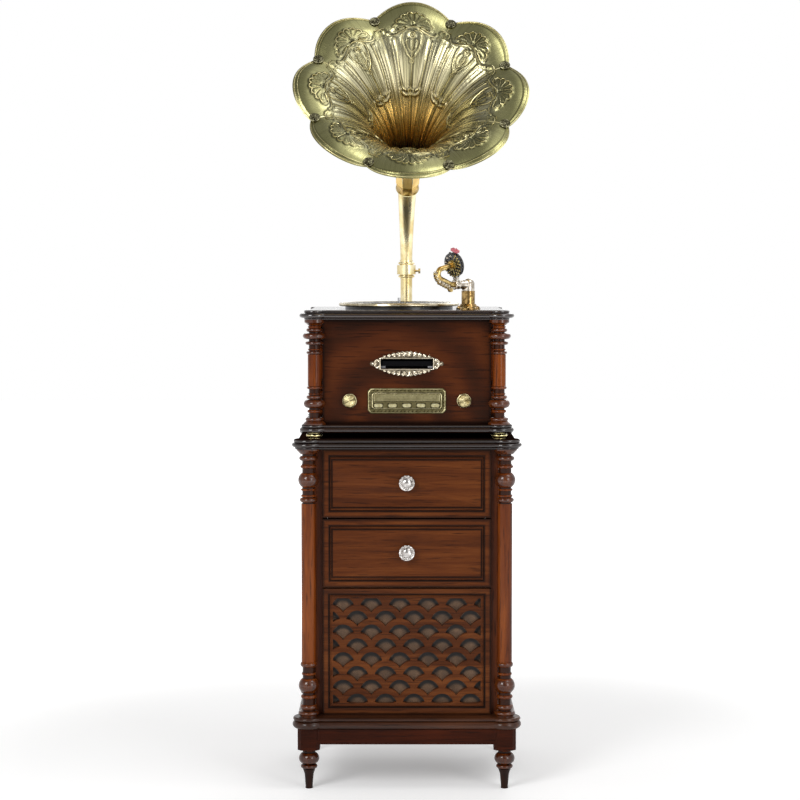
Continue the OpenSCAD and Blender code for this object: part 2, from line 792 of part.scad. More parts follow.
// Rectangle with planed corners
module cut_rectangle(w, h, cut) {
    polygon([[-w / 2 + cut, -h / 2], [w / 2 - cut, -h / 2], [w / 2, -h / 2 + cut], [w / 2, h / 2 - cut],
        [w / 2 - cut, h / 2], [-w / 2 + cut, h / 2], [-w / 2, h / 2 - cut], [-w / 2, -h / 2 + cut]]);
}

module radio_plate() {
    y = box_front_y - plate_t;
    color(brass) difference() {
        translate([0, 0, plate_mid]) {
            from_front(y, plate_t) cut_rectangle(plate_w, plate_h, 7);
            // rope border of short raised strokes
            for (flip = [-1, 1]) {
                for (i = [-9 : 9]) translate([i * 9.4, y, flip * (plate_h / 2 - 5)]) rope_stroke(5.4);
                for (i = [-2 : 2]) translate([flip * (plate_w / 2 - 5), y, i * 8.4]) rotate([0, 90, 0])
                    rope_stroke(5);
            }
        }
        translate([0, 0, plate_mid]) from_front(y - 1, 1 + plate_t / 2) square([plate_w - 20, plate_h - 22],
            center = true);
        block([-dial_w / 2, y - 1, dial_mid - dial_h / 2], [dial_w, plate_t + 2, dial_h]);
        for (i = [-2 : 2]) translate([i * button_pitch, 0, button_mid])
            from_front(y - 1, plate_t + 2) stadium(button_w + 1, button_h + 1);
    }
}

module rope_stroke(l) {
    rotate([90, 0, 0]) translate([0, 0, -eps]) linear_extrude(0.9) square([l, 2.6], center = true);
}

// Clear dial strip behind the window
module dial_window() {
    y = box_front_y - plate_t / 2;
    color([0.85, 0.8, 0.62]) {
        block([-dial_w / 2 + fit, y, dial_mid - dial_h / 2 + fit],
            [dial_w - 2 * fit, plate_t / 2, dial_h - 2 * fit]);
        block([-dial_w / 2 - 2, box_front_y, dial_mid - dial_h / 2], [dial_w + 4, 2, dial_h + 2]);
    }
}

module button(i) {
    y = box_front_y - plate_t - 1.5;
    depth = plate_t + 1.5 + box_wall - 2;
    color(brass) translate([i * button_pitch, 0, button_mid]) {
        from_front(y, plate_t + 3) stadium(button_w, button_h);
        // flange that holds the button behind the plate
        from_front(box_front_y + fit, 1.2) stadium(button_w + 4, button_h + 3);
        from_front(y + plate_t + 3 - eps, depth - plate_t - 3) square([10, 5], center = true);
    }
}

module button_1() { button(-2); }
module button_2() { button(-1); }
module button_3() { button(0); }
module button_4() { button(1); }
module button_5() { button(2); }

// Board behind the radio plate with the switches and the two controls
module radio_chassis() {
    y = box_front_y - 2 + box_wall + button_travel + fit;
    color([0.15, 0.32, 0.2]) difference() {
        block([-knob_x - 22, y + 4, plate_mid - plate_h / 2 + 4], [2 * knob_x + 44, 2, plate_h - 8]);
        for (side = [-1, 1]) translate([side * knob_x, y, plate_mid]) rotate([-90, 0, 0])
            cylinder(r = shaft_r + 0.1, h = 30);
    }
    color(dark) for (i = [-2 : 2])
        block([i * button_pitch - 6, y, button_mid - 4], [12, 4 + eps, 8]);
    color(grey) for (side = [-1, 1]) difference() {
        translate([side * knob_x, y + 6 - eps, plate_mid]) rotate([-90, 0, 0]) cylinder(r = 12, h = 14);
        translate([side * knob_x, y, plate_mid]) rotate([-90, 0, 0]) cylinder(r = shaft_r + run, h = 30);
    }
    // dial lamp housing and its brackets on the front wall
    color(silver) block([-dial_w / 2 + 10, box_front_y + 2 + fit, dial_mid - dial_h / 2 + 2],
        [dial_w - 20, y + 4 - box_front_y - 2 - fit + eps, dial_h - 4]);
}

// Knob with a fluted cap and a shaft that runs into the control
module radio_knob(side) {
    y = box_front_y - fit;
    reach = box_wall + button_travel + 16;
    color(brass) translate([side * knob_x, y, plate_mid]) rotate([90, 0, 0]) {
        difference() {
            turned(knob_out, knob_r - 4, [[4, knob_r, 3], [knob_out - 5, knob_r - 1, 4]]);
            translate([0, 0, knob_out + 0.6]) rotate([0, 90, 0])
                cylinder(r = 1.6, h = 2 * knob_r, center = true);
        }
        translate([0, 0, -reach]) cylinder(r = shaft_r, h = reach + 1);
    }
}

module volume_knob() { radio_knob(-1); }
module tuning_knob() { radio_knob(1); }

module power_transformer() {
    color(grey) translate([transformer_at[0], transformer_at[1], box_z]) {
        block([-32, -28, 0], [64, 56, 4]);
        block([-28, -16, 4 - eps], [56, 32, 48]);
        block([-16, -26, 12], [32, 52, 32]);
    }
}

module amplifier_board() {
    top = board_post + board_t - eps;
    translate([board_at[0], board_at[1], box_z]) {
        color([0.15, 0.32, 0.2]) {
            block([0, 0, board_post], [board_w, board_d, board_t]);
            for (x = [8, board_w - 10]) for (y = [6, board_d - 8])
                translate([x, y, 0]) cylinder(r = 3.5, h = board_post + eps);
        }
        // heat sink and smoothing capacitors
        color(grey) block([10, board_d - 34, top], [80, 8, 40]);
        color(dark) for (i = [0 : 2]) translate([board_w - 60 + 22 * i, 22, top]) cylinder(r = 8, h = 26);
    }
}

module platter() {
    color(silver) translate([platter_x, platter_y, platter_z]) difference() {
        rotate_extrude() intersection() {
            square([200, platter_t]);
            union() {
                square([platter_r - platter_t / 2, platter_t]);
                translate([platter_r - platter_t / 2, platter_t / 2]) circle(r = platter_t / 2 - eps);
            }
        }
        translate([0, 0, platter_t - 2]) cylinder(r = platter_r - 9, h = 4);
        translate([0, 0, -1]) cylinder(r = spindle_r + 0.02, h = 20);
    }
}

module platter_mat() {
    color(dark) translate([platter_x, platter_y, platter_z + platter_t - 2]) difference() {
        cylinder(r = platter_r - 10, h = mat_t);
        translate([0, 0, -1]) cylinder(r = spindle_r + 0.3, h = 10);
        for (r = [60, 100, 134]) translate([0, 0, mat_t - 0.6]) difference() {
            cylinder(r = r, h = 2);
            translate([0, 0, -1]) cylinder(r = r - 3, h = 4);
        }
    }
}

module platter_base() {
    color(dark) translate([platter_x, platter_y, top_z]) difference() {
        cylinder(r = platter_base_r, h = platter_base_h);
        translate([0, 0, -1]) cylinder(r = 30, h = 20);
    }
}

// Shaft with the collar under the platter and the large pulley under the top board
module spindle() {
    color(silver) translate([platter_x, platter_y, 0]) {
        translate([0, 0, pulley_z - 4]) cylinder(r = spindle_r, h = mat_top - pulley_z + 4);
        translate([0, 0, mat_top - eps]) cylinder(r = pin_r, h = pin_l + eps);
        translate([0, 0, platter_z - 3]) cylinder(r = 12, h = 3);
        difference() {
            translate([0, 0, pulley_z]) cylinder(r = big_pulley_r, h = pulley_t);
            translate([0, 0, pulley_z + 2]) difference() {
                cylinder(r = big_pulley_r + 5, h = pulley_t - 4);
                translate([0, 0, -1]) cylinder(r = big_pulley_r - 3, h = pulley_t);
            }
        }
    }
}

module spindle_bearing() {
    color(brass) translate([platter_x, platter_y, 0]) difference() {
        union() {
            translate([0, 0, bush_z]) cylinder(r = bush_r - 0.05, h = platter_z - 4 - bush_z);
            translate([0, 0, deck_z - 5]) cylinder(r = bush_r + 12, h = 5);
        }
        translate([0, 0, pulley_z]) cylinder(r = spindle_r + run, h = 200);
    }
}

module motor() {
    z = pulley_z + pulley_t + 6;
    color(grey) translate([motor_at[0], motor_at[1], 0]) difference() {
        union() {
            translate([0, 0, z]) cylinder(r = 19, h = deck_z - 4 - z);
            block([-26, -22, deck_z - 4 - eps], [52, 44, 4 + eps]);
        }
        translate([0, 0, z - 1]) cylinder(r = 1.5 + run, h = 16);
    }
}

module motor_pulley() {
    z = pulley_z;
    color(brass) translate([motor_at[0], motor_at[1], 0]) {
        difference() {
            translate([0, 0, z]) cylinder(r = small_pulley_r, h = pulley_t);
            translate([0, 0, z + 2]) difference() {
                cylinder(r = small_pulley_r + 5, h = pulley_t - 4);
                translate([0, 0, -1]) cylinder(r = small_pulley_r - 3, h = pulley_t);
            }
        }
        translate([0, 0, z + 1]) cylinder(r = 1.5, h = pulley_t + 18);
    }
}

// Flat belt round both pulleys, with its running gap
module belt_loop(grow) {
    hull() {
        circle(r = big_pulley_r - 3 + grow);
        rotate(motor_dir) translate([belt_centres, 0]) circle(r = small_pulley_r - 3 + grow);
    }
}

module drive_belt() {
    color(dark) translate([platter_x, platter_y, pulley_z + 2 + fit]) linear_extrude(pulley_t - 4 - 2 * fit)
        difference() {
            belt_loop(fit + 1.4);
            belt_loop(fit);
        }
}

// Everything on the tonearm is drawn along +X from the pillar's axis, and then turned to its direction
module at_arm() {
    translate([arm_x, arm_y, arm_z]) rotate(arm_dir) children();
}

module tonearm_pillar() {
    color(brass) translate([arm_x, arm_y, top_z]) {
        turned(pillar_top - top_z, pillar_r, [[8, pillar_r + 5, 3]]) {
            polygon([[0, 0], [pillar_r + 13, 0], [pillar_r + 13, 4], [pillar_r + 8, 6], [pillar_r + 2, 14],
                [0, 14]]);
        }
        for (a = [30 : 60 : 330]) rotate(a) translate([pillar_r + 10, 0, 5]) sphere(r = 4);
        translate([0, 0, -deck_t - 6]) cylinder(r = arm_bolt_r, h = deck_t + 7);
        translate([0, 0, -deck_t - 6]) cylinder(r = 9, h = 5.5);
        translate([0, 0, pillar_top - top_z - eps]) cylinder(r = 7, h = 6);
    }
}

module tonearm() {
    color(brass) at_arm() difference() {
        union() {
            // elbow that turns on the pillar
            translate([0, 0, pillar_top - arm_z + fit]) cylinder(r = pillar_r - 1, h = barrel_r + 3 - fit);
            sphere(r = pillar_r - 1);
            rotate([0, 90, 0]) cylinder(r1 = barrel_r + 1, r2 = barrel_r - 3.5, h = barrel_l - 14);
            // ring at the end of the barrel
            translate([barrel_l - 18, 0, 0]) rotate([0, 90, 0])
                turned(17.5, barrel_r - 3, [[3, barrel_r - 1, 2.5], [14.5, barrel_r, 2.5]])
                    square([barrel_r - 2, 17.5]);
        }
        translate([0, 0, -barrel_r - 4]) cylinder(r = 7 + run, h = 9);
        translate([barrel_l - 12, 0, 0]) rotate([0, 90, 0]) cylinder(r = 5 + run, h = 20);
    }
}

// Everything on the soundbox is drawn round its middle, with the gooseneck coming in along +X
module at_soundbox() {
    at_arm() translate([soundbox_mid[0], 0, soundbox_mid[1]]) rotate([0, goose_back, 0]) children();
}

module gooseneck() {
    color(brass) at_arm() {
        translate([barrel_l - 11, 0, 0]) rotate([0, 90, 0]) cylinder(r = 5, h = 12);
        translate([barrel_l, 0, 0]) rotate([0, 90, 0]) cylinder(r = goose_tube_r, h = goose_knee - barrel_l);
        translate([goose_knee, 0, 0]) {
            sphere(r = goose_tube_r);
            rotate([0, 90 - goose_rise, 0]) cylinder(r = goose_tube_r, h = goose_run);
        }
        translate([bend_mid[0], 0, bend_mid[1]]) rotate([90, 0, 0]) rotate([0, 0, goose_rise - 90])
            rotate_extrude(angle = bend_turn) translate([goose_r, 0]) circle(r = goose_tube_r);
        scroll_leaf();
    }
    color(brass) at_soundbox() translate([soundbox_t / 2, 0, 0]) rotate([0, 90, 0]) {
        cylinder(r = goose_tube_r, h = goose_return);
        cylinder(r = goose_tube_r + 4, h = 5);
    }
}

// Cast leaf scroll under the lower run of the gooseneck, with a curl at its foot
module scroll_leaf() {
    edge = goose_tube_r + 4;
    translate([0, 4, 0]) rotate([90, 0, 0]) linear_extrude(8) {
        translate([goose_knee, 0]) rotate(goose_rise) {
            translate([3, -edge]) square([goose_run - 3, edge]);
            for (i = [0 : 4]) translate([4 + i * (goose_run - 4) / 4, -edge]) circle(r = 4.2);
        }
        for (i = [1 : 3]) translate(bend_mid) rotate(goose_rise - 90 + i * 22)
            translate([goose_r + goose_tube_r + 1.5, 0]) circle(r = 4);
        translate([goose_knee + 3, -edge - 2.5]) circle(r = 5);
    }
}

module soundbox() {
    color([0.55, 0.5, 0.36]) at_soundbox() translate([-soundbox_t / 2, 0, 0]) rotate([0, 90, 0]) {
        difference() {
            turned(soundbox_t, soundbox_r - 3, [[3.5, soundbox_r, 3], [10.5, soundbox_r, 3]]);
            translate([0, 0, -1]) cylinder(r = soundbox_r - 6, h = 3.5);
            for (a = [0 : 60 : 300]) rotate(a) translate([soundbox_r - 12, 0, soundbox_t - 2])
                cylinder(r = 4, h = 3);
        }
        for (a = [15 : 30 : 345]) rotate(a) translate([soundbox_r - 0.5, 0, soundbox_t / 2]) sphere(r = 3);
    }
}

module stylus() {
    color([0.75, 0.3, 0.32]) at_soundbox() rotate([-20, 0, 0]) translate([0, 0, soundbox_r + 3.3]) {
        block([-5, -11, 0], [10, 22, 7]);
        block([-1, 4, 6], [2, 2, 6]);
    }
}

module horn_tube() {
    color(brass) difference() {
        union() {
            translate([0, tube_y, top_z - tube_seat]) cylinder(r = tube_r, h = tube_end - top_z + tube_seat);
            translate([0, tube_y, top_z]) turned(10, tube_r, [[3, tube_r + 11, 3], [7.5, tube_r + 5, 2.5]]);
        }
        translate([0, tube_y, top_z - 40]) cylinder(r = tube_r - 2, h = 400);
    }
}

module horn_collar() {
    z = tube_top - collar_h;
    color(brass) translate([0, tube_y, z]) difference() {
        turned(collar_h, tube_r + 2, [[5, 21, 3], [collar_h - 3.2, 21, 3]]) {
            translate([0, 10]) square([collar_r, collar_h - 18]);
        }
        translate([0, 0, -1]) cylinder(r = tube_r + 0.02, h = tube_end - z + 1);
        translate([0, 0, tube_end - z - eps]) cylinder(r = tube_r + run, h = 20);
    }
    // clamp screw with a flat grip
    color(brass) translate([collar_r - 1, tube_y, z + collar_h / 2 - 2]) rotate([0, 90, 0]) {
        cylinder(r = 3, h = 9);
        translate([0, 0, 8]) cylinder(r = 7, h = 5);
    }
}

// Centre of the elbow's section and its radius, by the share t of the bend
function elbow_at(t) = let (a = t * elbow_turn)
    [0, -elbow_bend_r * (1 - cos(a)), elbow_z + elbow_bend_r * sin(a)];
function elbow_radius(t) = tube_r + (elbow_end_r - tube_r) * pow(t, 1.2);
function elbow_ring(t, r, sides) = let (c = elbow_at(t), a = t * elbow_turn)
    [for (i = [0 : sides - 1]) let (p = 360 * i / sides)
        c + r * [cos(p), sin(p) * cos(a), sin(p) * sin(a)]];

// Skin between rings of equal count, from the outer rings forward and back along the inner ones
module ring_skin(rings, sides) {
    points = [for (ring = rings) each ring];
    n = len(rings);
    faces = [for (k = [0 : n - 1]) for (i = [0 : sides - 1])
        let (a = k * sides + i, b = k * sides + (i + 1) % sides,
            c = ((k + 1) % n) * sides + (i + 1) % sides, d = ((k + 1) % n) * sides + i)
        each [[a, c, b], [a, d, c]]];
    polyhedron(points = points, faces = faces);
}

module horn_elbow() {
    sides = 24;
    steps = 9;
    wall = 2;
    color(brass) swung() {
        ring_skin(concat(
            [for (k = [0 : steps]) elbow_ring(k / steps, elbow_radius(k / steps), sides)],
            [for (k = [steps : -1 : 0]) elbow_ring(k / steps, elbow_radius(k / steps) - wall, sides)]),
            sides);
        // plug that turns in the collar, with a shoulder under the elbow
        translate([0, 0, tube_top - plug_l]) difference() {
            union() {
                cylinder(r = tube_r, h = elbow_z - tube_top + plug_l - 1);
                translate([0, 0, elbow_z - tube_top + plug_l - 3]) cylinder(r = tube_r + 2, h = 4);
            }
            translate([0, 0, -1]) cylinder(r = tube_r - 4, h = 40);
        }
        // ring at the top of the elbow, which carries the horn
        translate(elbow_at(1)) rotate([elbow_turn, 0, 0]) difference() {
            union() {
                translate([0, 0, -2]) cylinder(r = elbow_end_r + 2, h = 5);
                cylinder(r = elbow_end_r - 1, h = 14);
            }
            translate([0, 0, -5]) cylinder(r = elbow_end_r - 3.5, h = 40);
        }
    }
}

// Outline of the horn's mouth by angle: round petals that meet in notches
function petal_edge(p) = let (
    half = 180 / petals,
    q = abs(((p + half) % (2 * half)) - half),
    c = (1 - notch * notch) / (2 * (1 - notch * cos(half))),
    round = 1 - c)
    c * cos(q) + sqrt(max(round * round - pow(c * sin(q), 2), 0));

// 1 in the middle of a petal's edge and 0 in a notch
function petal_share(p) = pow((petal_edge(p) - notch) / (1 - notch), 1.5);

// Height along the axis and radius of the horn by the share t of its length and the angle
function bell_share(t) = pow(max(1 - cos(90 * t), 0), 0.85);
function bell_height(t, p) = skirt_l + (horn_l - skirt_l) * sin(90 * t)
    - lip_curl * pow(t, 8) * petal_share(p) - seam_fall * t * t * (1 - petal_share(p));
function bell_radius(t, p) = let (half = 180 / petals, q = abs(((p + half) % (2 * half)) - half))
    (skirt_r + (horn_r - skirt_r) * bell_share(t))
    * (1 + (petal_edge(p) - 1) * pow(t, 3))
    * (1 + (1 / cos(q) - 1) * pow(1 - t, 3));
function bell_point(t, p, shift) = let (
    step = 0.01,
    rise = bell_height(t + step, p) - bell_height(t - step, p),
    grow = bell_radius(t + step, 0) - bell_radius(t - step, 0),
    size = norm([rise, grow]),
    r = bell_radius(t, p) + shift * rise / size,
    z = bell_height(t, p) - shift * grow / size)
    [r * cos(p), r * sin(p), z];

// Stands a drawing on the tube's axis and turns it as the horn is swung
module swung() {
    translate([0, tube_y, 0]) rotate(horn_swing) children();
}

// Places a drawing along +Z onto the horn's axis, with a petal pointing up
module at_horn() {
    swung() translate(throat) rotate([elbow_turn, 0, 0]) rotate(90 - horn_roll) children();
}

module horn() {
    sides = petals * 8;
    steps = 16;
    angles = [for (i = [0 : sides - 1]) 360 * i / sides];
    socket_z = 3 + fit;
    color(brass) at_horn() ring_skin(concat(
        // eight-sided socket that stands on the elbow's ring
        [[for (p = angles) [bell_radius(0, p) * cos(p), bell_radius(0, p) * sin(p), socket_z]]],
        [for (k = [0 : steps]) [for (p = angles) bell_point(k / steps, p, sheet_t)]],
        [for (k = [steps : -1 : 0]) [for (p = angles) bell_point(k / steps, p, 0)]],
        [[for (p = angles) [(elbow_end_r + fit) * cos(p), (elbow_end_r + fit) * sin(p), socket_z]]]),
        sides);
}

module horn_rosettes() {
    color([0.45, 0.42, 0.3]) at_horn() for (k = [0 : petals - 1]) rotate((k + 0.5) * 360 / petals)
        translate([horn_r * notch - rosette_r * 0.8, 0, horn_l - seam_fall + rosette_lift]) {
            turned(4, rosette_r - 5, [[2, rosette_r, 2]]);
            for (a = [0 : 60 : 300]) rotate(a) translate([rosette_r - 5.5, 0, 2]) cylinder(r = 2.6, h = 3.4);
            translate([0, 0, 2]) cylinder(r = 3, h = 4.6);
        }
}

turned_feet();
base_frame();
plinth_board();
cabinet_columns();
cabinet_sides();
cabinet_back();
inner_boards();
drawer_runners();
upper_drawer_front();
upper_drawer_box();
upper_drawer_knob();
lower_drawer_front();
lower_drawer_box();
lower_drawer_knob();
grille_panel();
grille_mesh();
speaker_basket();
speaker_cone();
cabinet_top();
brass_feet();
box_bottom();
box_columns();
box_front();
box_sides();
box_back();
rear_plate();
deck();
disc_bezel();
disc_tray();
disc_drive();
radio_plate();
dial_window();
button_1();
button_2();
button_3();
button_4();
button_5();
radio_chassis();
volume_knob();
tuning_knob();
power_transformer();
amplifier_board();
platter();
platter_mat();
platter_base();
spindle();
spindle_bearing();
motor();
motor_pulley();
drive_belt();
tonearm_pillar();
tonearm();
gooseneck();
soundbox();
stylus();
horn_tube();
horn_collar();
horn_elbow();
horn();
horn_rosettes();
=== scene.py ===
import json
import math

import bmesh
import bpy
import numpy as np
from bpy.props import FloatProperty, FloatVectorProperty, IntProperty, PointerProperty
from mathutils import Matrix, Vector


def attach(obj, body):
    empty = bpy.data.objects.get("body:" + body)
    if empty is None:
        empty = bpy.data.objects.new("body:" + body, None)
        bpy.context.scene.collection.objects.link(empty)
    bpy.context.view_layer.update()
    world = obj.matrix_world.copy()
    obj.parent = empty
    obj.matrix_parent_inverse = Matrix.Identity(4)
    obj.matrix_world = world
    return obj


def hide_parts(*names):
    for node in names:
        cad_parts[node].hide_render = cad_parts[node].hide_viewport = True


bl_info = {
    "name": "Petal horn record player",
    "version": (1, 0, 0),
    "blender": (4, 5, 0),
    "location": "View3D > Sidebar > Record player",
    "description": "Dresses the floor-standing record player: lacquered wood, brass horn, radio and studio",
    "category": "Object",
}

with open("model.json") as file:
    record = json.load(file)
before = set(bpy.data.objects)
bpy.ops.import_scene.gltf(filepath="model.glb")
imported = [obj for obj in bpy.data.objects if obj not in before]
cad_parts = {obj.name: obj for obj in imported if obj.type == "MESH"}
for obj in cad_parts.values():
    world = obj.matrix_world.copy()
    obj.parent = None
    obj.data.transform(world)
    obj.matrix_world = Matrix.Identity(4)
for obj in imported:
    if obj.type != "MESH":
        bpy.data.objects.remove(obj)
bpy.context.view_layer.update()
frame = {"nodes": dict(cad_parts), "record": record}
MM = 0.001


def srgb(red, green, blue):
    """A colour as a shader wants it, from the eight-bit numbers a screen shows."""
    def linear(value):
        value /= 255
        return value / 12.92 if value <= 0.04045 else ((value + 0.055) / 1.055) ** 2.4
    return (linear(red), linear(green), linear(blue), 1.0)


def darker(colour, share):
    """A linear colour with a share of its light."""
    return [c * share for c in colour[:3]] + [1.0]


def moved(x, y, z):
    """A move, in millimetres."""
    return Matrix.Translation((x * MM, y * MM, z * MM))


def turned(angle, axis="Z"):
    """A turn about an axis, in radians."""
    return Matrix.Rotation(angle, 4, axis)


def sized(x, y, z):
    """The stretch of a ball of radius one to half sizes in millimetres."""
    return Matrix.Diagonal((x * MM, y * MM, z * MM, 1))


# ---------------------------------------------------------------- finishes

GRAIN = {"X": (1, 18, 18), "Y": (18, 1, 18), "Z": (18, 18, 1)}  # how often fibres change along each axis
FRAME_CORE = 0.7 * MM  # half width of the darkest part of a dark rectangle
# a dark colour for clouds of grime, and for painted shade along frames
GRIME_AND_SHADE = (0.02, 0.017, 0.01, 1)


class Reading:
    """A shader socket that can be used in sums."""

    def __init__(self, finish, socket):
        self.finish, self.socket = finish, socket

    def math(self, operation, *terms):
        return self.finish.math(operation, *terms)

    def __add__(self, other):
        return self.math("ADD", self, other)

    def __sub__(self, other):
        return self.math("SUBTRACT", self, other)

    def __rsub__(self, other):
        return self.math("SUBTRACT", other, self)

    def __mul__(self, other):
        return self.math("MULTIPLY", self, other)

    def __truediv__(self, other):
        return self.math("DIVIDE", self, other)

    def __pow__(self, other):
        return self.math("POWER", self, other)

    def __mod__(self, other):
        return self.math("FLOORED_MODULO", self, other)

    def __gt__(self, other):
        return self.math("GREATER_THAN", self, other)

    def __lt__(self, other):
        return self.math("LESS_THAN", self, other)

    def __abs__(self):
        return self.math("ABSOLUTE", self)

    __radd__ = __add__
    __rmul__ = __mul__


class Finish:
    """A material, or a world, under construction, one node at a time."""

    def __init__(self, name, kind="materials"):
        self.made = getattr(bpy.data, kind).new(name)
        self.made.use_nodes = True
        self.tree = self.made.node_tree
        self.tree.nodes.clear()

    def node(self, kind, settings=None, inputs=(), output=0):
        """One node: its settings first, then the values or links of its sockets."""
        made = self.tree.nodes.new(kind)
        for key, value in (settings or {}).items():
            if key == "stops":
                ramp = made.color_ramp
                while len(ramp.elements) < len(value):
                    ramp.elements.new(0.5)
                for element, (place, colour) in zip(ramp.elements, value):
                    element.position, element.color = place, colour
            else:
                setattr(made, key, value)
        pairs = inputs.items() if isinstance(inputs, dict) else enumerate(inputs)
        for key, value in pairs:
            if isinstance(value, Reading):
                self.tree.links.new(value.socket, made.inputs[key])
            else:
                made.inputs[key].default_value = value
        return Reading(self, made.outputs[output]) if made.outputs else None

    def place(self, scale=(1, 1, 1), shift=(0, 0, 0)):
        """Object coordinates, stretched and moved. One number stretches all three."""
        spot = self.node("ShaderNodeTexCoord", output="Object")
        scale = scale if hasattr(scale, "__len__") else (scale,) * 3
        return self.node("ShaderNodeMapping", {}, {"Vector": spot, "Location": shift, "Scale": scale})

    def flat(self, x, y=0.0):
        """A vector of two numbers."""
        return self.node("ShaderNodeCombineXYZ", {}, [x, y, 0.0])

    def axes(self, names, vector=None):
        """The numbers of a vector, or of the object coordinates, that names lists, such as "xz"."""
        outputs = self.node("ShaderNodeSeparateXYZ", {}, [vector or self.place()]).socket.node.outputs
        return [Reading(self, outputs["xyz".index(name)]) for name in names]

    def noise(self, vector, detail=3.0, rough=0.5, warp=0.0):
        """Noise over a vector, or over the object coordinates where it is a stretch."""
        if not isinstance(vector, Reading):
            vector = self.place(vector)
        return self.node("ShaderNodeTexNoise", {}, {
            "Vector": vector, "Scale": 1.0, "Detail": detail, "Roughness": rough, "Distortion": warp})

    def length(self, x, y):
        """The length of a flat vector."""
        return (x * x + y * y) ** 0.5

    def fade(self, value, low, high, start=0.0, end=1.0):
        """A smooth step from start to end while value goes from low to high."""
        return self.node("ShaderNodeMapRange", {"interpolation_type": "SMOOTHSTEP"},
                         [value, low, high, start, end])

    def rays(self, kind):
        """One where light of a kind is followed, such as the camera's own."""
        path = self.node("ShaderNodeLightPath")
        return Reading(self, path.socket.node.outputs[kind])

    def background_rays(self):
        """One on rays that show the background: the camera's, mirrored ones and those through glass."""
        return self.math("MINIMUM", self.rays("Is Camera Ray") + self.rays("Is Glossy Ray")
                         + self.rays("Is Transmission Ray"), 1.0)

    def math(self, operation, *terms):
        return self.node("ShaderNodeMath", {"operation": operation}, terms)

    def ramp(self, value, stops):
        return self.node("ShaderNodeValToRGB", {"stops": stops}, [value])

    def blend(self, share, first, second):
        """The first colour at share 0, the second at 1."""
        return self.node("ShaderNodeMix", {"data_type": "RGBA"}, {0: share, 6: first, 7: second}, output=2)

    def along_frames(self, frames):
        """One along upright rectangles: middle x and z, half width, half height and reach, in millimetres."""
        x, z = self.axes("xz")
        mask = 0.0
        for at_x, at_z, half_w, half_h, reach in frames:
            off = self.math(
                "MAXIMUM", abs(x - at_x * MM) - half_w * MM, abs(z - at_z * MM) - half_h * MM)
            mask = self.math("MAXIMUM", self.fade(abs(off), FRAME_CORE, reach * MM, 1.0, 0.0), mask)
        return mask

    def bump(self, height, reach, strength):
        return self.node("ShaderNodeBump", {}, {"Height": height, "Distance": reach, "Strength": strength})

    def end(self, shader, kind="Material"):
        """Ends the tree with its output, and gives back what it was made for."""
        self.node("ShaderNodeOutput" + kind, {}, {"Surface": shader})
        return self.made

    def surface(self, **sockets):
        """Ends the material with one shader. Its socket names have underscores for spaces."""
        return self.end(self.node("ShaderNodeBsdfPrincipled", {}, {
            key.replace("_", " "): value for key, value in sockets.items()}))


def wood(name, deep, middle, light, along, figure, gloss, sheen=0.1, swirl=None, frames=(),
         specular=0.08, coat_ior=1.5, turning=None, coated=None):
    """Stained and lacquered wood: fibres and pores along one axis, a slow figure, and a clear coat.

    deep, middle and light are the fibres' tones, gloss and sheen the coat's weight and roughness, and swirl
    is the middle of a knot, in metres. Painted shade lies along the grooves and gaps of the rectangles in
    frames, and in the grooves of turned pieces, whose beads are darker in tone: turning holds the x and y of
    their axes and the radius of their shafts, in millimetres. Where coated gives two heights, in metres,
    faces outside them are bare of lacquer."""
    made = Finish(name)
    deep, middle, light = srgb(*deep), srgb(*middle), srgb(*light)
    stretch = GRAIN[along]
    fibre = made.noise([3.2 * s for s in stretch], 6.0, 0.62, 0.6)
    pores = made.noise([14 * s for s in stretch], 3.0, 0.55)
    slow = made.noise([1.6 * s ** 0.5 for s in stretch], 3.0, 0.5, 1.2)
    tone = fibre * (1 - figure) + slow * figure
    if swirl:
        x, z = made.axes("xz", made.place(shift=[-c for c in swirl]))
        away = (x * x + z * z * 0.55) ** 0.5
        rings = made.noise(2, 4.0, 0.5, 0.8)
        bands = made.math("SINE", away * 62.0 + rings * 17.0)
        tone = tone * 0.72 + (bands * 0.5 + 0.5) * 0.28
    colour = made.ramp(tone, [(0.32, deep), (0.5, middle), (0.68, light)])
    cut = made.fade(pores, 0.30, 0.46)
    colour = made.blend((1.0 - cut) * 0.7, colour, darker(deep, 0.35))
    wear = made.noise(9, 4.0, 0.6)
    # painted shade along the grooves and gaps of the rectangles in frames, a little patchy
    if frames:
        colour = made.blend(made.along_frames(frames) * (wear * 0.5 + 0.6), colour, darker(deep, 0.16))
    coat = gloss
    if turning:
        x, y = made.axes("xy")
        axis_x, axis_y, shaft = turning
        away = made.length(abs(x) - axis_x * MM, abs(y) - axis_y * MM)
        # painted shade in the grooves of a turning, where its radius is below the shaft's, and a darker tone
        # on its beads and balls
        groove_shade = made.fade(away, (shaft - 2) * MM, shaft * MM, 0.85, 0.0)
        bead = made.fade(away, (shaft + 1) * MM, (shaft + 3.5) * MM, 0.0, 0.5)
        colour = made.blend(made.math("MAXIMUM", groove_shade, bead), colour, darker(deep, 0.3))
        coat = bead * 1.3 + gloss
    if coated:
        [z] = made.axes("z")
        coat = (z > coated[0]) * (z < coated[1]) * gloss
    return made.surface(
        Base_Color=colour, Roughness=made.fade(wear, 0.3, 0.7, 0.34, 0.46),
        Normal=made.bump(cut * 0.7 + fibre * 0.3, 0.25 * MM, 0.3),
        Coat_Weight=coat, Coat_Roughness=sheen, Coat_IOR=coat_ior, Specular_IOR_Level=specular)


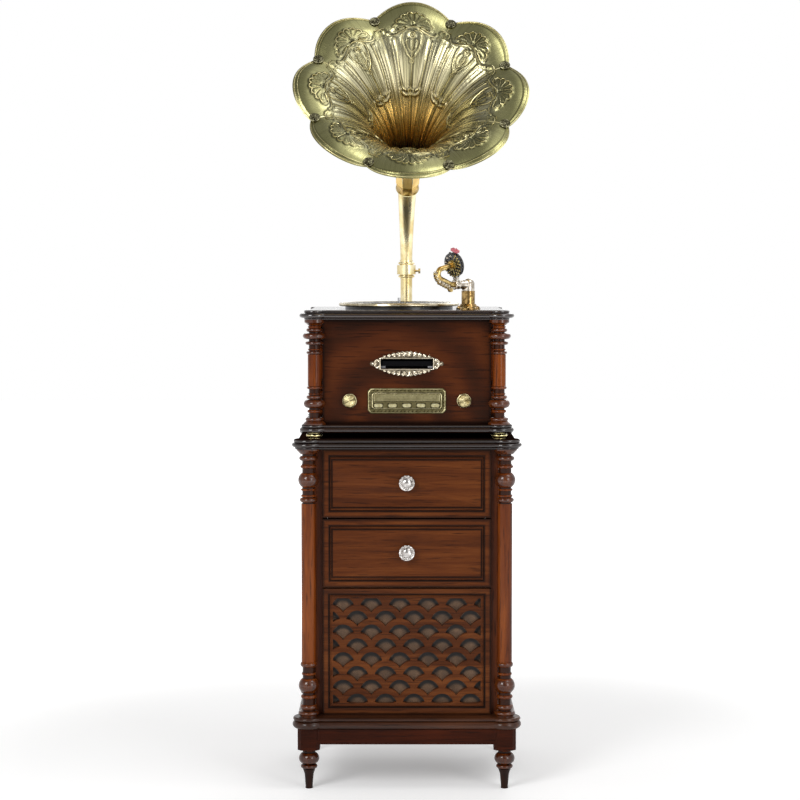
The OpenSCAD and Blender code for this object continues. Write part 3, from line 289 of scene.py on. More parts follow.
def metal(name, bright, worn, rough, spots, scale=1.0, brushed=None, grime=0.0, solid=1.0, frames=()):
    """Cast or drawn metal with a tarnish that comes and goes, and brush marks along one axis.

    spots is how softly the tarnish ends, scale how fine its clouds are and solid the share of bare metal.
    Grime gathers in clouds, and painted shade lies along the rectangles in frames."""
    made = Finish(name)
    bright, worn = srgb(*bright), srgb(*worn)
    cloud = made.noise(38 * scale, 5.0, 0.6, 0.4)
    grain = made.noise(420 * scale, 2.0, 0.5)
    colour = made.blend(made.fade(cloud, 0.5 - 0.35 * spots, 0.5 + 0.35 * spots), worn, bright)
    if brushed:
        grain = made.noise([60 if axis == brushed else 1600 for axis in "XYZ"], 2.0, 0.6)
        colour = made.blend(made.fade(grain, 0.35, 0.65, 0.0, 0.35), colour, worn)
    if grime:
        dirt = made.fade(made.noise(150 * scale, 4.0, 0.65), 0.5, 0.62)
        colour = made.blend(dirt * grime, colour, GRIME_AND_SHADE)
    # painted shade along the rectangles in frames, round buttons and recesses
    if frames:
        colour = made.blend(made.along_frames(frames) * 0.85, colour, GRIME_AND_SHADE)
    return made.surface(
        Base_Color=colour, Metallic=solid, Roughness=made.fade(cloud, 0.3, 0.7, rough + 0.08, rough - 0.04),
        Normal=made.bump(grain, 0.06 * MM, 0.5))


def spun_metal(name, bright, worn, middle, plane, pitch, rough, painted_wedge=0.0):
    """Metal turned on a lathe: fine rings round a middle, in the plane of two axes, a pitch apart.

    Where its last argument is set, two dark wedges opposite each other are painted on as the reflection of
    the rings; it is the sine of half their angle."""
    made = Finish(name)
    bright, worn = srgb(*bright), srgb(*worn)
    first, second = made.axes(plane, made.place(shift=[-c for c in middle]))
    away = made.length(first, second)
    rings = made.math("SINE", away * (2 * math.pi / pitch))
    ragged = made.noise(made.flat(away * 2600.0), 2.0, 0.5)
    cloud = made.noise(60, 4.0, 0.6)
    colour = made.blend(made.fade(cloud, 0.35, 0.65), worn, bright)
    # painted reflection: two dark wedges across the spun face
    if painted_wedge:
        lean = abs(second * 0.94 - first * 0.34) / (away + 0.1 * MM)
        colour = made.blend(made.fade(lean, painted_wedge * 0.4, painted_wedge, 0.8, 0.0), colour, darker(worn, 0.3))
    return made.surface(
        Base_Color=colour, Metallic=1.0, Roughness=made.fade(ragged, 0.3, 0.7, rough - 0.04, rough + 0.1),
        Normal=made.bump(rings * 0.5 + ragged, pitch * 0.16, 0.8))


def plain(name, colour, rough, grain=900.0, coat=0.0, specular=0.4):
    """Moulded plastic, rubber or card with a fine grain. Its colour is linear."""
    made = Finish(name)
    fine = made.noise(grain, 2.0, 0.5)
    slow = made.noise(26, 3.0, 0.55)
    return made.surface(
        Base_Color=made.blend(made.fade(slow, 0.3, 0.7), darker(colour, 0.75), colour),
        Roughness=made.fade(slow, 0.3, 0.7, rough - 0.05, rough + 0.07),
        Normal=made.bump(fine, 0.04 * MM, 0.6), Coat_Weight=coat, Coat_Roughness=0.1,
        Specular_IOR_Level=specular)


# ---------------------------------------------------------------- shapes

EASED_CREASE = 30.0  # degrees
FORWARD = turned(math.pi / 2, "X")  # turns what stands up to face the front


def node_body(node):
    return next(body for body, nodes in frame["record"]["behaviour"]["bodies"].items() if node in nodes)


def place_piece(name, shape, node, finish, replaces=False, crease=38.0):
    """Makes a piece from a bmesh and smooths it up to its creases, in degrees.

    It has the body of a node, and stands for it where replaces is set."""
    mesh = bpy.data.meshes.new(name)
    shape.to_mesh(mesh)
    shape.free()
    piece = bpy.data.objects.new(name, mesh)
    bpy.context.scene.collection.objects.link(piece)
    mesh.materials.append(finish)
    mesh.shade_smooth()
    mesh.set_sharp_from_angle(angle=math.radians(crease))
    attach(piece, node_body(node))
    if replaces:
        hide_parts(node)
    return piece


def turned_shape(outline, steps, matrix, shape=None):
    """A shape on a lathe, alone or added to another, and carried by a matrix.

    outline is radius and height, in millimetres, from the foot to the top."""
    shape = shape or bmesh.new()
    before = set(shape.verts)
    chain = [shape.verts.new((r * MM, 0, z * MM)) for r, z in outline]
    edges = [shape.edges.new(pair) for pair in zip(chain, chain[1:])]
    bmesh.ops.spin(shape, geom=chain + edges, cent=(0, 0, 0), axis=(0, 0, 1), angle=2 * math.pi,
                   steps=steps, use_merge=True)
    fresh = [v for v in shape.verts if v not in before]
    bmesh.ops.remove_doubles(shape, verts=fresh, dist=0.000005)
    fresh = [v for v in shape.verts if v not in before]
    bmesh.ops.recalc_face_normals(shape, faces=list({f for v in fresh for f in v.link_faces}))
    bmesh.ops.transform(shape, matrix=matrix, verts=fresh)
    return shape


def ball(shape, matrix, columns=8):
    """Adds a ball of radius one, carried by a matrix."""
    bmesh.ops.create_uvsphere(shape, u_segments=columns, v_segments=6, radius=1.0, matrix=matrix)


def soft_line(points, steps):
    """A smooth line through points of any dimension, with some steps between each two."""
    p = [np.array(q, float) for q in points]
    p = [2 * p[0] - p[1]] + p + [2 * p[-1] - p[-2]]
    line = []
    for a, b, c, d in zip(p, p[1:], p[2:], p[3:]):
        for k in range(steps):
            t = k / steps
            line.append(0.5 * (2 * b + (c - a) * t + (2 * a - 5 * b + 4 * c - d) * t * t
                               + (3 * b - a - 3 * c + d) * t ** 3))
    return line + [p[-2]]


def wire_shape(lines, radius, sides=2, closed=False):
    """Round wires along lines of points, in metres, as one bmesh."""
    curve = bpy.data.curves.new("wires", "CURVE")
    curve.dimensions = "3D"
    curve.bevel_depth = radius
    curve.bevel_resolution = sides
    curve.use_fill_caps = not closed
    for line in lines:
        spline = curve.splines.new("POLY")
        spline.points.add(len(line) - 1)
        for point, at in zip(spline.points, line):
            point.co = (*at, 1.0)
        spline.use_cyclic_u = closed
    holder = bpy.data.objects.new("wires", curve)
    bpy.context.scene.collection.objects.link(holder)
    ready = holder.evaluated_get(bpy.context.evaluated_depsgraph_get())
    mesh = bpy.data.meshes.new_from_object(ready)
    shape = bmesh.new()
    shape.from_mesh(mesh)
    bmesh.ops.remove_doubles(shape, verts=shape.verts, dist=0.000002)
    bmesh.ops.recalc_face_normals(shape, faces=shape.faces)
    bpy.data.objects.remove(holder)
    bpy.data.curves.remove(curve)
    bpy.data.meshes.remove(mesh)
    return shape


def petals_round(shape, matrix, count, away, size, height, start=0.0, columns=8):
    """Adds drops in a ring: size is half length outwards, half width and half thickness, in millimetres."""
    for k in range(count):
        turn = start + 2 * math.pi * k / count
        ball(shape, matrix @ turned(turn) @ moved(away, 0, height) @ sized(*size), columns)


def join_shapes(*shapes):
    """Several bmeshes as the first one."""
    whole = shapes[0]
    for shape in shapes[1:]:
        mesh = bpy.data.meshes.new("join")
        shape.to_mesh(mesh)
        shape.free()
        whole.from_mesh(mesh)
        bpy.data.meshes.remove(mesh)
    return whole


def eased(node, finish, edge):
    """A copy of a solid with its triangles merged, its flats cleared and its edges eased, in its place."""
    shape = bmesh.new()
    shape.from_mesh(frame["nodes"][node].data)
    bmesh.ops.remove_doubles(shape, verts=shape.verts, dist=0.000004)
    bmesh.ops.dissolve_limit(shape, angle_limit=math.radians(0.6), verts=shape.verts, edges=shape.edges,
                             delimit={"NORMAL"})
    piece = place_piece(node + "_dressed", shape, node, finish, True, EASED_CREASE)
    if edge:
        bevel = piece.modifiers.new("edges", "BEVEL")
        bevel.width, bevel.segments = edge, 2
        bevel.limit_method, bevel.angle_limit = "ANGLE", math.radians(EASED_CREASE)
        bevel.harden_normals = False
        bevel.use_clamp_overlap = True


def painted(node, finish):
    """A solid that keeps its shape and gets a finish."""
    for slot in frame["nodes"][node].material_slots:
        slot.material = finish


# ---------------------------------------------------------------- settings

class StageSettings(bpy.types.PropertyGroup):
    camera_place: FloatVectorProperty(
        name="Camera", description="Where the camera stands", default=(-0.0165, -5.223, 1.277),
        subtype="TRANSLATION")
    camera_pitch: FloatProperty(
        name="Pitch", description="How far the camera looks down", default=math.radians(2.96),
        subtype="ANGLE")
    lens: FloatProperty(name="Lens", description="Focal length in millimetres", default=93.8)
    shift: FloatProperty(name="Shift", description="Vertical shift of the lens", default=-0.0363)
    floor_colour: FloatVectorProperty(
        name="Floor", description="Colour of the floor", default=(0.86, 0.86, 0.86), subtype="COLOR")


class WoodSettings(bpy.types.PropertyGroup):
    edge: FloatProperty(
        name="Edge", description="How far board edges are eased", default=0.0012, unit="LENGTH")
    gloss: FloatProperty(name="Gloss", description="Strength of the clear coat", default=0.9, min=0, max=1)


class HornSettings(bpy.types.PropertyGroup):
    petals: IntProperty(name="Petals", description="Number of petals", default=8)
    mouth: FloatProperty(name="Mouth", description="Radius over the petal tips", default=0.283, unit="LENGTH")
    length: FloatProperty(name="Length", description="Length along the axis", default=0.393, unit="LENGTH")
    tilt: FloatProperty(
        name="Tilt", description="Height angle of the axis", default=math.radians(37.7), subtype="ANGLE")
    line: FloatProperty(name="Line", description="Half width of a raised line", default=0.0009, unit="LENGTH")
    lift: FloatProperty(
        name="Lift", description="Height of the pressed relief", default=0.0021, unit="LENGTH")


SETTINGS = {"player_stage": StageSettings, "player_wood": WoodSettings, "player_horn": HornSettings}


# ---------------------------------------------------------------- stage

class PLAYER_OT_stage(bpy.types.Operator):
    """Floor, background, lamps and camera"""
    bl_idname = "player.stage"
    bl_label = "Stage"

    def execute(self, context):
        want = context.scene.player_stage
        floor = bmesh.new()
        bmesh.ops.create_grid(floor, x_segments=1, y_segments=1, size=14.0)
        mesh = bpy.data.meshes.new("studio_floor")
        floor.to_mesh(mesh)
        floor.free()
        ground = bpy.data.objects.new("studio_floor", mesh)
        context.scene.collection.objects.link(ground)
        paper = Finish("studio_paper")
        away = paper.length(*paper.axes("xy"))
        glow = paper.fade(away, 0.9, 2.6, 0.3, 1.0) * paper.background_rays()
        tone = paper.fade(paper.noise(0.6, 2.0), 0.3, 0.7)
        mesh.materials.append(paper.surface(
            Base_Color=paper.blend(tone, (*want.floor_colour, 1), darker(want.floor_colour, 0.985)),
            Roughness=0.9, Specular_IOR_Level=0.1, Emission_Color=glow, Emission_Strength=1.0))

        # what is mirrored: a white room, dark straight in front of the player and high on its left
        room = Finish("studio", "worlds")
        x, y, z = room.axes("xyz", room.node("ShaderNodeTexCoord", output="Generated"))
        front = room.fade(abs(x), 0.14, 0.42, 0.28, 1.0)
        level = room.fade(y, -0.6, 0.3, front, 0.9)
        above = room.fade(x, 0.0, 0.28, 0.32, 1.15)
        shade = room.fade(z, 0.25, 0.7, level, above)
        mirror = room.blend(shade, (0.0, 0.0, 0.0, 1), (1.0, 1.0, 1.0, 1))
        seen = room.blend(room.rays("Is Glossy Ray"), (0.42, 0.42, 0.42, 1), mirror)
        seen = room.blend(room.rays("Is Camera Ray"), seen, (1, 1, 1, 1))
        sky = room.node("ShaderNodeBackground", {}, {"Color": seen, "Strength": 1.0})
        context.scene.world = room.end(sky, "World")

        for name, at, aim, size, power in (
                ("key", (-2.3, -3.4, 2.9), (0, 0, 1.1), (1.6, 2.0), 92),
                ("fill", (2.6, -3.6, 1.8), (0, 0, 0.9), (1.4, 2.2), 40),
                ("top", (1.7, -0.9, 3.6), (0, 0, 1.3), (1.4, 1.4), 18),
                ("back", (0.4, 3.2, 2.6), (0, 0, 1.2), (2.4, 1.6), 30)):
            data = bpy.data.lights.new(name, "AREA")
            data.shape, data.size, data.size_y, data.energy = "RECTANGLE", size[0], size[1], power
            lamp = bpy.data.objects.new(name, data)
            lamp.location = at
            lamp.rotation_euler = (Vector(aim) - Vector(at)).to_track_quat("-Z", "Y").to_euler()
            context.scene.collection.objects.link(lamp)

        data = bpy.data.cameras.new("camera")
        data.lens, data.sensor_width, data.shift_y = want.lens, 36.0, want.shift
        camera = bpy.data.objects.new("camera", data)
        camera.location = want.camera_place
        camera.rotation_euler = (math.pi / 2 - want.camera_pitch, 0, 0)
        context.scene.collection.objects.link(camera)
        context.scene.camera = camera
        context.scene.view_settings.view_transform = "Standard"
        return {"FINISHED"}


# ---------------------------------------------------------------- woodwork

DRAWERS = {"upper_drawer_front": 742.5, "lower_drawer_front": 572.5}  # heights of their middles
GRILLE_Z, GRILLE_H = 333.5, 258.0
FRONT_Y, BOX_FRONT_Y = -186, -164
SCALE_PITCH, SCALE_ROW = 69.0, 34.0  # width of a scale and height of a row of the pierced panel


def front_frame(at_z, half_w, half_h, y):
    """The four corners of an upright rectangle, in metres from millimetres."""
    return [(a * half_w * MM, y * MM, (at_z + b * half_h) * MM)
            for a, b in ((-1, -1), (1, -1), (1, 1), (-1, 1))]


class PLAYER_OT_woodwork(bpy.types.Operator):
    """Boards, walls, columns and feet in stained and lacquered wood"""
    bl_idname = "player.woodwork"
    bl_label = "Woodwork"

    def execute(self, context):
        want = context.scene.player_wood
        board = wood("lacquered_board", (18, 10, 8), (32, 18, 14), (50, 30, 22), "X",
                     0.5, want.gloss, 0.06, coat_ior=1.8)
        painted("deck", board)
        painted("plinth_board", wood("plinth_wood", (34, 14, 6), (58, 30, 15), (86, 48, 26), "X",
                                     0.5, 0.4, 0.06, coat_ior=1.6))
        # the two boards that face each other across the gap shine at their edges only
        for node in ("cabinet_top", "box_bottom"):
            heights = [vert.co.z for vert in frame["nodes"][node].data.vertices]
            painted(node, wood(node + "_wood", (18, 10, 8), (32, 18, 14), (50, 30, 22), "X", 0.5, 0.8, 0.08,
                               specular=0.0, coat_ior=1.7, coated=(min(heights) + MM, max(heights) - MM)))
        apron = wood("apron_wood", (28, 7, 1), (52, 17, 3), (76, 29, 7), "X", 0.4, 0.03, 0.1)
        eased("base_frame", apron, want.edge)
        for node, tones, turning in (
                ("cabinet_columns", ((50, 19, 3), (100, 44, 9), (144, 74, 22)), (238, 200, 17.2)),
                ("box_columns", ((48, 17, 2), (98, 42, 7), (142, 71, 19)), (223.5, 186, 15.7)),
                ("turned_feet", ((38, 13, 2), (80, 33, 6), (120, 56, 15)), (238, 200, 17.2))):
            painted(node, wood(node + "_wood", *tones, "Z", 0.45, 0.2, 0.02, turning=turning))
        panel = wood("panel_wood", (52, 21, 8), (84, 38, 15), (112, 56, 25), "Z", 0.5, 0.06, 0.12)
        for node in ("cabinet_sides", "cabinet_back", "box_sides", "box_back"):
            eased(node, panel, want.edge)
        front = wood("box_front_wood", (48, 21, 6), (66, 29, 9), (84, 40, 14), "X",
                     0.35, 0.04, 0.12, swirl=(-0.05, -0.164, 0.86), frames=[(0, 1014, 206, 126, 10)])
        eased("box_front", front, want.edge)
        bare = wood("bare_wood", (120, 86, 54), (160, 122, 80), (186, 150, 104), "Y", 0.5, 0.0)
        for node in ("inner_boards", "drawer_runners", "upper_drawer_box", "lower_drawer_box"):
            painted(node, bare)
        for node, at_z in DRAWERS.items():
            drawer = wood(
                node + "_wood", (60, 26, 7), (90, 44, 15), (116, 63, 26), "X", 0.35, 0.04, 0.1,
                frames=[(0, at_z, 205, 83.5, 9), (0, at_z, 188, 67.5, 4.5), (0, at_z, 182, 58.5, 4)])
            eased(node, drawer, want.edge)
            mould = front_frame(at_z, 185, 63, FRONT_Y - 0.2)
            place_piece(node + "_mould", wire_shape([mould], 1.3 * MM, closed=True), node, drawer)
        grille = wood("grille_wood", (50, 22, 7), (84, 42, 16), (118, 66, 30), "X", 0.35, 0.04, 0.1,
                      frames=[(0, GRILLE_Z, 205, 156, 6), (0, GRILLE_Z, 190, GRILLE_H / 2 + 10, 3.5)])
        eased("grille_panel", grille, 0.9 * MM)
        mould = front_frame(GRILLE_Z, 185, GRILLE_H / 2 + 5, FRONT_Y - 0.1)
        place_piece("grille_mould", wire_shape([mould], 1.6 * MM, closed=True), "grille_panel", grille)
        return {"FINISHED"}


class PLAYER_OT_speaker(bpy.types.Operator):
    """Woven wire behind the grille, and the loudspeaker"""
    bl_idname = "player.speaker"
    bl_label = "Loudspeaker"

    def execute(self, context):
        made = Finish("woven_wire")
        x, z = made.axes("xz", made.place(2 * math.pi / (5.6 * MM)))
        weave = made.math("SINE", x + z) * made.math("SINE", x - z)
        wire = made.fade(weave, -0.1, 0.4)
        cloud = made.noise(30)
        colour = made.blend(wire, (0.012, 0.009, 0.006, 1), made.blend(
            made.fade(cloud, 0.3, 0.7), srgb(128, 92, 62), srgb(176, 134, 98)))
        # painted shade: the cloth darkens towards the edge of each scale, where the pierced wood shades it;
        # the scales' middles lie in two staggered lattices
        x, z = made.axes("xz")
        lit_fans = []
        for hand, up_by in ((1, 3.4), (-1, 3.4 + SCALE_ROW)):
            off_x = (x * 1000.0 + (10.5 - hand * 0.25) * SCALE_PITCH) % SCALE_PITCH - SCALE_PITCH / 2
            off_z = (z * 1000.0 + (21 * SCALE_ROW - up_by - GRILLE_Z)) % (2 * SCALE_ROW) - (SCALE_ROW - 5)
            lit_fans.append(made.fade(made.length(off_x, off_z), 16.0, 24.0, 1.0, 0.0))
        colour = made.blend(made.math("MAXIMUM", *lit_fans), (0.006, 0.004, 0.003, 1), colour)
        painted("grille_mesh", made.surface(
            Base_Color=colour, Metallic=wire * 0.2, Roughness=0.5, Normal=made.bump(wire, 0.6 * MM, 0.8)))
        painted("speaker_basket", plain("basket_paint", (0.02, 0.02, 0.022, 1), 0.4))
        painted("speaker_cone", plain("cone_card", (0.03, 0.03, 0.03, 1), 0.8, 600))
        return {"FINISHED"}


# ---------------------------------------------------------------- horn

SEAM = math.pi / 8  # half the angle of a petal, so the first seam's
NOTCH = 0.9  # the mouth's radius at a seam, as a share of that at a petal's tip
FLARE = 0.85  # below 1, the bell opens sooner
SOCKET_L, SOCKET_R = 0.034, 0.028
LIP_CURL, SEAM_FALL = 0.016, 0.036  # how far a petal's tip and the seams' ends lie behind the mouth
ROSETTE_R = 0.2443
TUBE_Y, ELBOW_Z, BEND_R = 172, 1284, 230  # the tube's place, the elbow's foot and its bend, in millimetres
SWING, ROLL = math.radians(1.4), math.radians(2.3)


def flare(t):
    """How far the bell has opened at share t of its length."""
    return np.maximum(1 - np.cos(math.pi / 2 * t), 0) ** FLARE


def bell_points(want, t, angle, shift=0.0):
    """Points of the bell by share t of its length and angle, numbers or arrays, pushed outwards by shift."""
    t, angle = np.asarray(t, float), np.asarray(angle, float)
    corner = np.abs((angle + SEAM) % (2 * SEAM) - SEAM)
    c = (1 - NOTCH ** 2) / (2 * (1 - NOTCH * math.cos(SEAM)))
    edge = c * np.cos(corner) + np.sqrt(np.maximum((1 - c) ** 2 - (c * np.sin(corner)) ** 2, 0))
    full = np.maximum((edge - NOTCH) / (1 - NOTCH), 0) ** 1.5  # 1 on a petal's middle line, 0 on a seam

    def height(u):
        return (SOCKET_L + (want.length - SOCKET_L) * np.sin(math.pi / 2 * u)
                - LIP_CURL * u ** 8 * full - SEAM_FALL * u * u * (1 - full))

    def radius(u, share, over):
        return ((SOCKET_R + (want.mouth - SOCKET_R) * flare(u))
                * (1 + (share - 1) * np.abs(u) ** 3) * (1 + over * np.maximum(1 - u, 0) ** 3))

    rise = height(t + 0.01) - height(t - 0.01)
    grow = radius(t + 0.01, 1.0, 0.0) - radius(np.maximum(t - 0.01, 0), 1.0, 0.0)
    size = np.hypot(rise, grow)
    r = radius(t, edge, 1 / np.cos(corner) - 1) + shift * rise / size
    return np.stack([r * np.cos(angle), r * np.sin(angle), height(t) - shift * grow / size], axis=-1)


def horn_matrix(want):
    """Carries a shape from the horn's own axis to its place on the tube."""
    turn = math.pi / 2 - want.tilt
    throat = moved(0, -BEND_R * (1 - math.cos(turn)), ELBOW_Z + BEND_R * math.sin(turn))
    return moved(0, TUBE_Y, 0) @ turned(SWING) @ throat @ turned(turn, "X") @ turned(math.pi / 2 - ROLL)


PETAL_L = 372.0  # a petal's length along its curve
MANY = 20  # a line of this many points or more is smooth already
FAN_T, FAN_TALL, FAN_WIDE, FAN_SPREAD = 0.782, 0.104, 52.0, math.radians(168)


def half_petal(t):
    """Half the width of a petal at share t of its length, in millimetres."""
    return (28 + 255 * flare(t)) * SEAM


def across(t, mm):
    """A sideways distance on a petal, in millimetres, as a share of the half petal."""
    return mm / half_petal(t)


def petal_lines():
    """The pressed pattern of one petal: lines of side share and length share, with their widths.

    A point given by three numbers has its distance from the middle in millimetres, in second place, and
    before it the length share where that distance is taken."""
    lines = []

    def both(points, width):
        points = [(across(*at[:2]), at[2]) if len(at) == 3 else at for at in points]
        lines.append((points, width))
        lines.append(([(-s, t) for s, t in points], width))

    def ring(at, wide, tall, width):
        lines.append(([(across(at, wide * math.sin(a)), at + tall * math.cos(a))
                       for a in np.linspace(0, 2 * math.pi, 15)], width))

    # a scalloped fan and its rays
    fan = []
    for k in range(73):
        turn = FAN_SPREAD * (k / 72 - 0.5)
        lobe = 0.84 + 0.16 * abs(math.sin(8 * math.pi * k / 72))
        t = FAN_T + FAN_TALL * lobe * math.cos(turn)
        fan.append((across(t, FAN_WIDE * lobe * math.sin(turn)), t))
    lines.append((fan, 1.2))
    for k in range(9):
        turn = FAN_SPREAD * (k / 8 - 0.5)
        ray = [(share, FAN_T + FAN_TALL * share * math.cos(turn)) for share in (0.3, 0.55, 0.83)]
        lines.append(([(across(t, FAN_WIDE * share * math.sin(turn)), t) for share, t in ray], 0.75))
    both([(0.0, 0.777), (0.775, 10, 0.774), (0.765, 20, 0.762), (0.755, 34, 0.751),
          (0.752, 46, 0.75), (0.76, 56, 0.761), (0.785, 64, 0.787)], 1.5)
    both([(0.787, 9, 0.79), (0.785, 18, 0.782), (0.775, 30, 0.771), (0.77, 42, 0.77), (0.79, 51, 0.795),
          (0.815, 47, 0.812)], 0.9)
    both([(0.8, 70, 0.8), (0.83, 80, 0.832), (0.845, 94, 0.85), (0.835, 102, 0.838)], 1.0)
    both([(0.765, 66, 0.765), (0.775, 76, 0.78), (0.79, 88, 0.795)], 0.9)
    ring(0.726, 6.5, 0.018, 1.1)
    ring(0.726, 2.4, 0.006, 1.0)
    both([(0.752, 5, 0.752), (0.752, 16, 0.755), (0.74, 24, 0.742), (0.71, 25, 0.71), (0.67, 20, 0.665),
          (0.63, 12, 0.62), (0.0, 0.59)], 1.0)
    both([(0.7, 10, 0.7), (0.69, 14, 0.685), (0.66, 11, 0.655), (0.0, 0.625)], 0.7)
    ring(0.578, 4, 0.01, 0.9)
    both([(0.745, 52, 0.742), (0.735, 44, 0.73), (0.7, 42, 0.7), (0.64, 38, 0.64), (0.56, 32, 0.56),
          (0.5, 26, 0.5), (0.45, 20, 0.45), (0.43, 12, 0.435)], 1.1)
    both([(0.41, 4, 0.408), (0.412, 12, 0.41), (0.42, 20, 0.425), (0.44, 24, 0.445)], 1.3)
    ring(0.425, 6, 0.014, 1.2)
    lines.append(([(0, 0.7), (0, 0.6), (0, 0.5), (0, 0.4), (0, 0.25), (0, 0.1), (0, 0.02)], 0.9))
    both([(0.72, 0.72), (0.73, 0.6), (0.72, 0.45), (0.68, 0.3), (0.62, 0.12), (0.58, 0.03)], 0.8)
    both([(0.87, 0.80), (0.87, 0.65), (0.85, 0.45), (0.82, 0.25), (0.8, 0.04)], 0.7)
    lines.append(([(side, 0.965) for side in np.linspace(-0.97, 0.97, 25)], 0.6))
    return lines


class PLAYER_OT_horn(bpy.types.Operator):
    """The bell with its pressed petals, its rolled rim, seams and rosettes"""
    bl_idname = "player.horn"
    bl_label = "Horn"

    def execute(self, context):
        want = context.scene.player_horn
        carry = horn_matrix(want)
        pattern = petal_lines()

        def on_bell(t, angle, shift=0.0):
            return carry @ Vector(bell_points(want, t, angle, shift))

        # a flat ring with a front and a back, spun and then bent into the bell
        shape = bmesh.new()
        rows, back_rows, per_petal = 160, 24, 52
        inner, back_z = 0.15, -0.01
        front = [(inner + k / rows, 0, 0) for k in range(rows + 1)]
        back = [(inner + k / back_rows, 0, back_z) for k in range(back_rows, -1, -1)]
        chain = [shape.verts.new(at) for at in front + back]
        edges = [shape.edges.new(pair) for pair in zip(chain, chain[1:] + chain[:1])]
        bmesh.ops.spin(shape, geom=chain + edges, cent=(0, 0, 0), axis=(0, 0, 1), angle=2 * math.pi,
                       steps=want.petals * per_petal, use_merge=True)
        flow = shape.loops.layers.uv.new("petal")
        patina = shape.verts.layers.float.new("patina")
        for face in shape.faces:
            middle = face.calc_center_median()
            face.material_index = 1 if middle.z < back_z / 2 else 0
            k = round(math.atan2(middle.y, middle.x) / (2 * SEAM))
            for loop in face.loops:
                at = loop.vert.co
                turn = (math.atan2(at.y, at.x) - k * 2 * SEAM + math.pi) % (2 * math.pi) - math.pi
                loop[flow].uv = (turn / SEAM + 2 * (k % want.petals), math.hypot(at.x, at.y) - inner)
        flat = np.array([v.co for v in shape.verts])
        turns = np.arctan2(flat[:, 1], flat[:, 0])
        shares = np.hypot(flat[:, 0], flat[:, 1]) - inner
        outside = flat[:, 2] < back_z / 2

        # the pattern's heights and painted shade, worked out once for one petal: near is the way to the next
        # line, in millimetres, and fat that line's width
        grid_side, grid_t = np.meshgrid(
            np.arange(per_petal + 1) * 2 / per_petal - 1, np.arange(rows + 1) / rows)
        half = half_petal(grid_t)
        near, fat = np.full(grid_t.shape, 99.0), np.zeros(grid_t.shape)
        for points, width in pattern:
            for side, t in soft_line(points, 16 if len(points) < MANY else 3):
                far = np.hypot((grid_side - side) * half, (grid_t - t) * PETAL_L)
                closer = far < near
                near[closer], fat[closer] = far[closer], width
        fan_side, fan_up = grid_side * half / FAN_WIDE, (grid_t - FAN_T) / FAN_TALL
        fan = np.clip((0.95 - np.hypot(fan_side, fan_up)) * 8, 0, 1) * (fan_up > -0.05)
        leaf = np.abs(np.sin(8 * np.pi * (np.arctan2(fan_side, fan_up) / FAN_SPREAD + 0.5)))
        lift = want.lift * (np.exp(-(near / (1.3 + 1.1 * fat)) ** 2) * fat + fan * (0.2 + 1.6 * leaf))
        # painted shade beside each raised line and between the fan's leaves
        outline_shade = np.exp(-((near - 3.1) / 1.5) ** 2) * np.clip(fat, 0.5, 1) + fan * (1 - leaf) ** 2 * 0.6
        pillow = 1.6 * MM * np.cos(np.abs(grid_side) * math.pi) * np.sin(grid_t * math.pi).clip(0) ** 0.7
        row = np.clip(np.rint(shares * rows).astype(int), 0, rows)
        column = np.rint(((turns + SEAM) % (2 * SEAM)) / (2 * SEAM) * per_petal).astype(int)
        pressed = -lift[row, column] * np.clip((1 - shares) * 40, 0, 1)
        shift = np.where(outside, 1.1 * MM, pressed) + pillow[row, column]
        outline_shades = np.where(outside, 0.0, outline_shade[row, column])
        for vert, at, share in zip(shape.verts, bell_points(want, shares, turns, shift), outline_shades):
            vert.co = at
            vert[patina] = share
        bmesh.ops.recalc_face_normals(shape, faces=shape.faces)
        bmesh.ops.transform(shape, matrix=carry, verts=shape.verts)
        bell = place_piece("horn_bell", shape, "horn", self.bell_finish(), True, 60)
        bell.data.materials.append(metal(
            "amber_brass", (238, 204, 120), (218, 182, 100), 0.34, 0.9, 0.5, solid=0.75))

        # raised lines, as wires of each width that lie on the pressed skin
        raised_brass = metal("raised_brass", (222, 214, 168), (150, 136, 84), 0.28, 0.8, 1.5)
        lines = [(soft_line(points, 4 if len(points) < MANY else 1), width) for points, width in pattern]
        groups = {}
        for k in range(want.petals):
            for line, width in lines:
                shift = -want.lift * 0.9 * min(width, 1.2) - want.line * 0.3
                groups.setdefault(width, []).append([on_bell(t, (2 * k + s) * SEAM, shift) for s, t in line])
        shapes = [wire_shape(group, want.line * width, 1) for width, group in groups.items()]
        place_piece("horn_relief", join_shapes(*shapes), "horn", raised_brass)

        seams = [[on_bell(t, (2 * k + 1) * SEAM, -0.4 * MM) for t in np.linspace(0.03, 0.93, 40)]
                 for k in range(want.petals)]
        place_piece("horn_seams", wire_shape(seams, 1.5 * MM), "horn", raised_brass)
        rim = [on_bell(0.989, a) for a in np.linspace(0, 2 * math.pi, 321)[:-1]]
        place_piece("horn_rim", wire_shape([rim], 1.4 * MM, 3, True), "horn", raised_brass)

        flowers = bmesh.new()
        for k in range(want.petals):
            spot = carry @ turned((2 * k + 1) * SEAM) @ Matrix.Translation(
                (ROSETTE_R, 0, want.length - SEAM_FALL + 5.5 * MM))
            turned_shape([(0, 0), (12, 0), (13, 1.2), (13, 2.4), (11.6, 3.4), (10.2, 2.6), (4, 2.6),
                          (3.2, 4.6), (1.8, 6.2), (0, 6.8)], 32, spot, flowers)
            petals_round(flowers, spot, 8, 6.8, (3.6, 2.1, 1.9), 3, columns=10)
        place_piece("rosettes", flowers, "horn_rosettes", metal(
            "rosette_bronze", (150, 146, 116), (66, 62, 44), 0.4, 0.3, 3.0, grime=0.7), True)

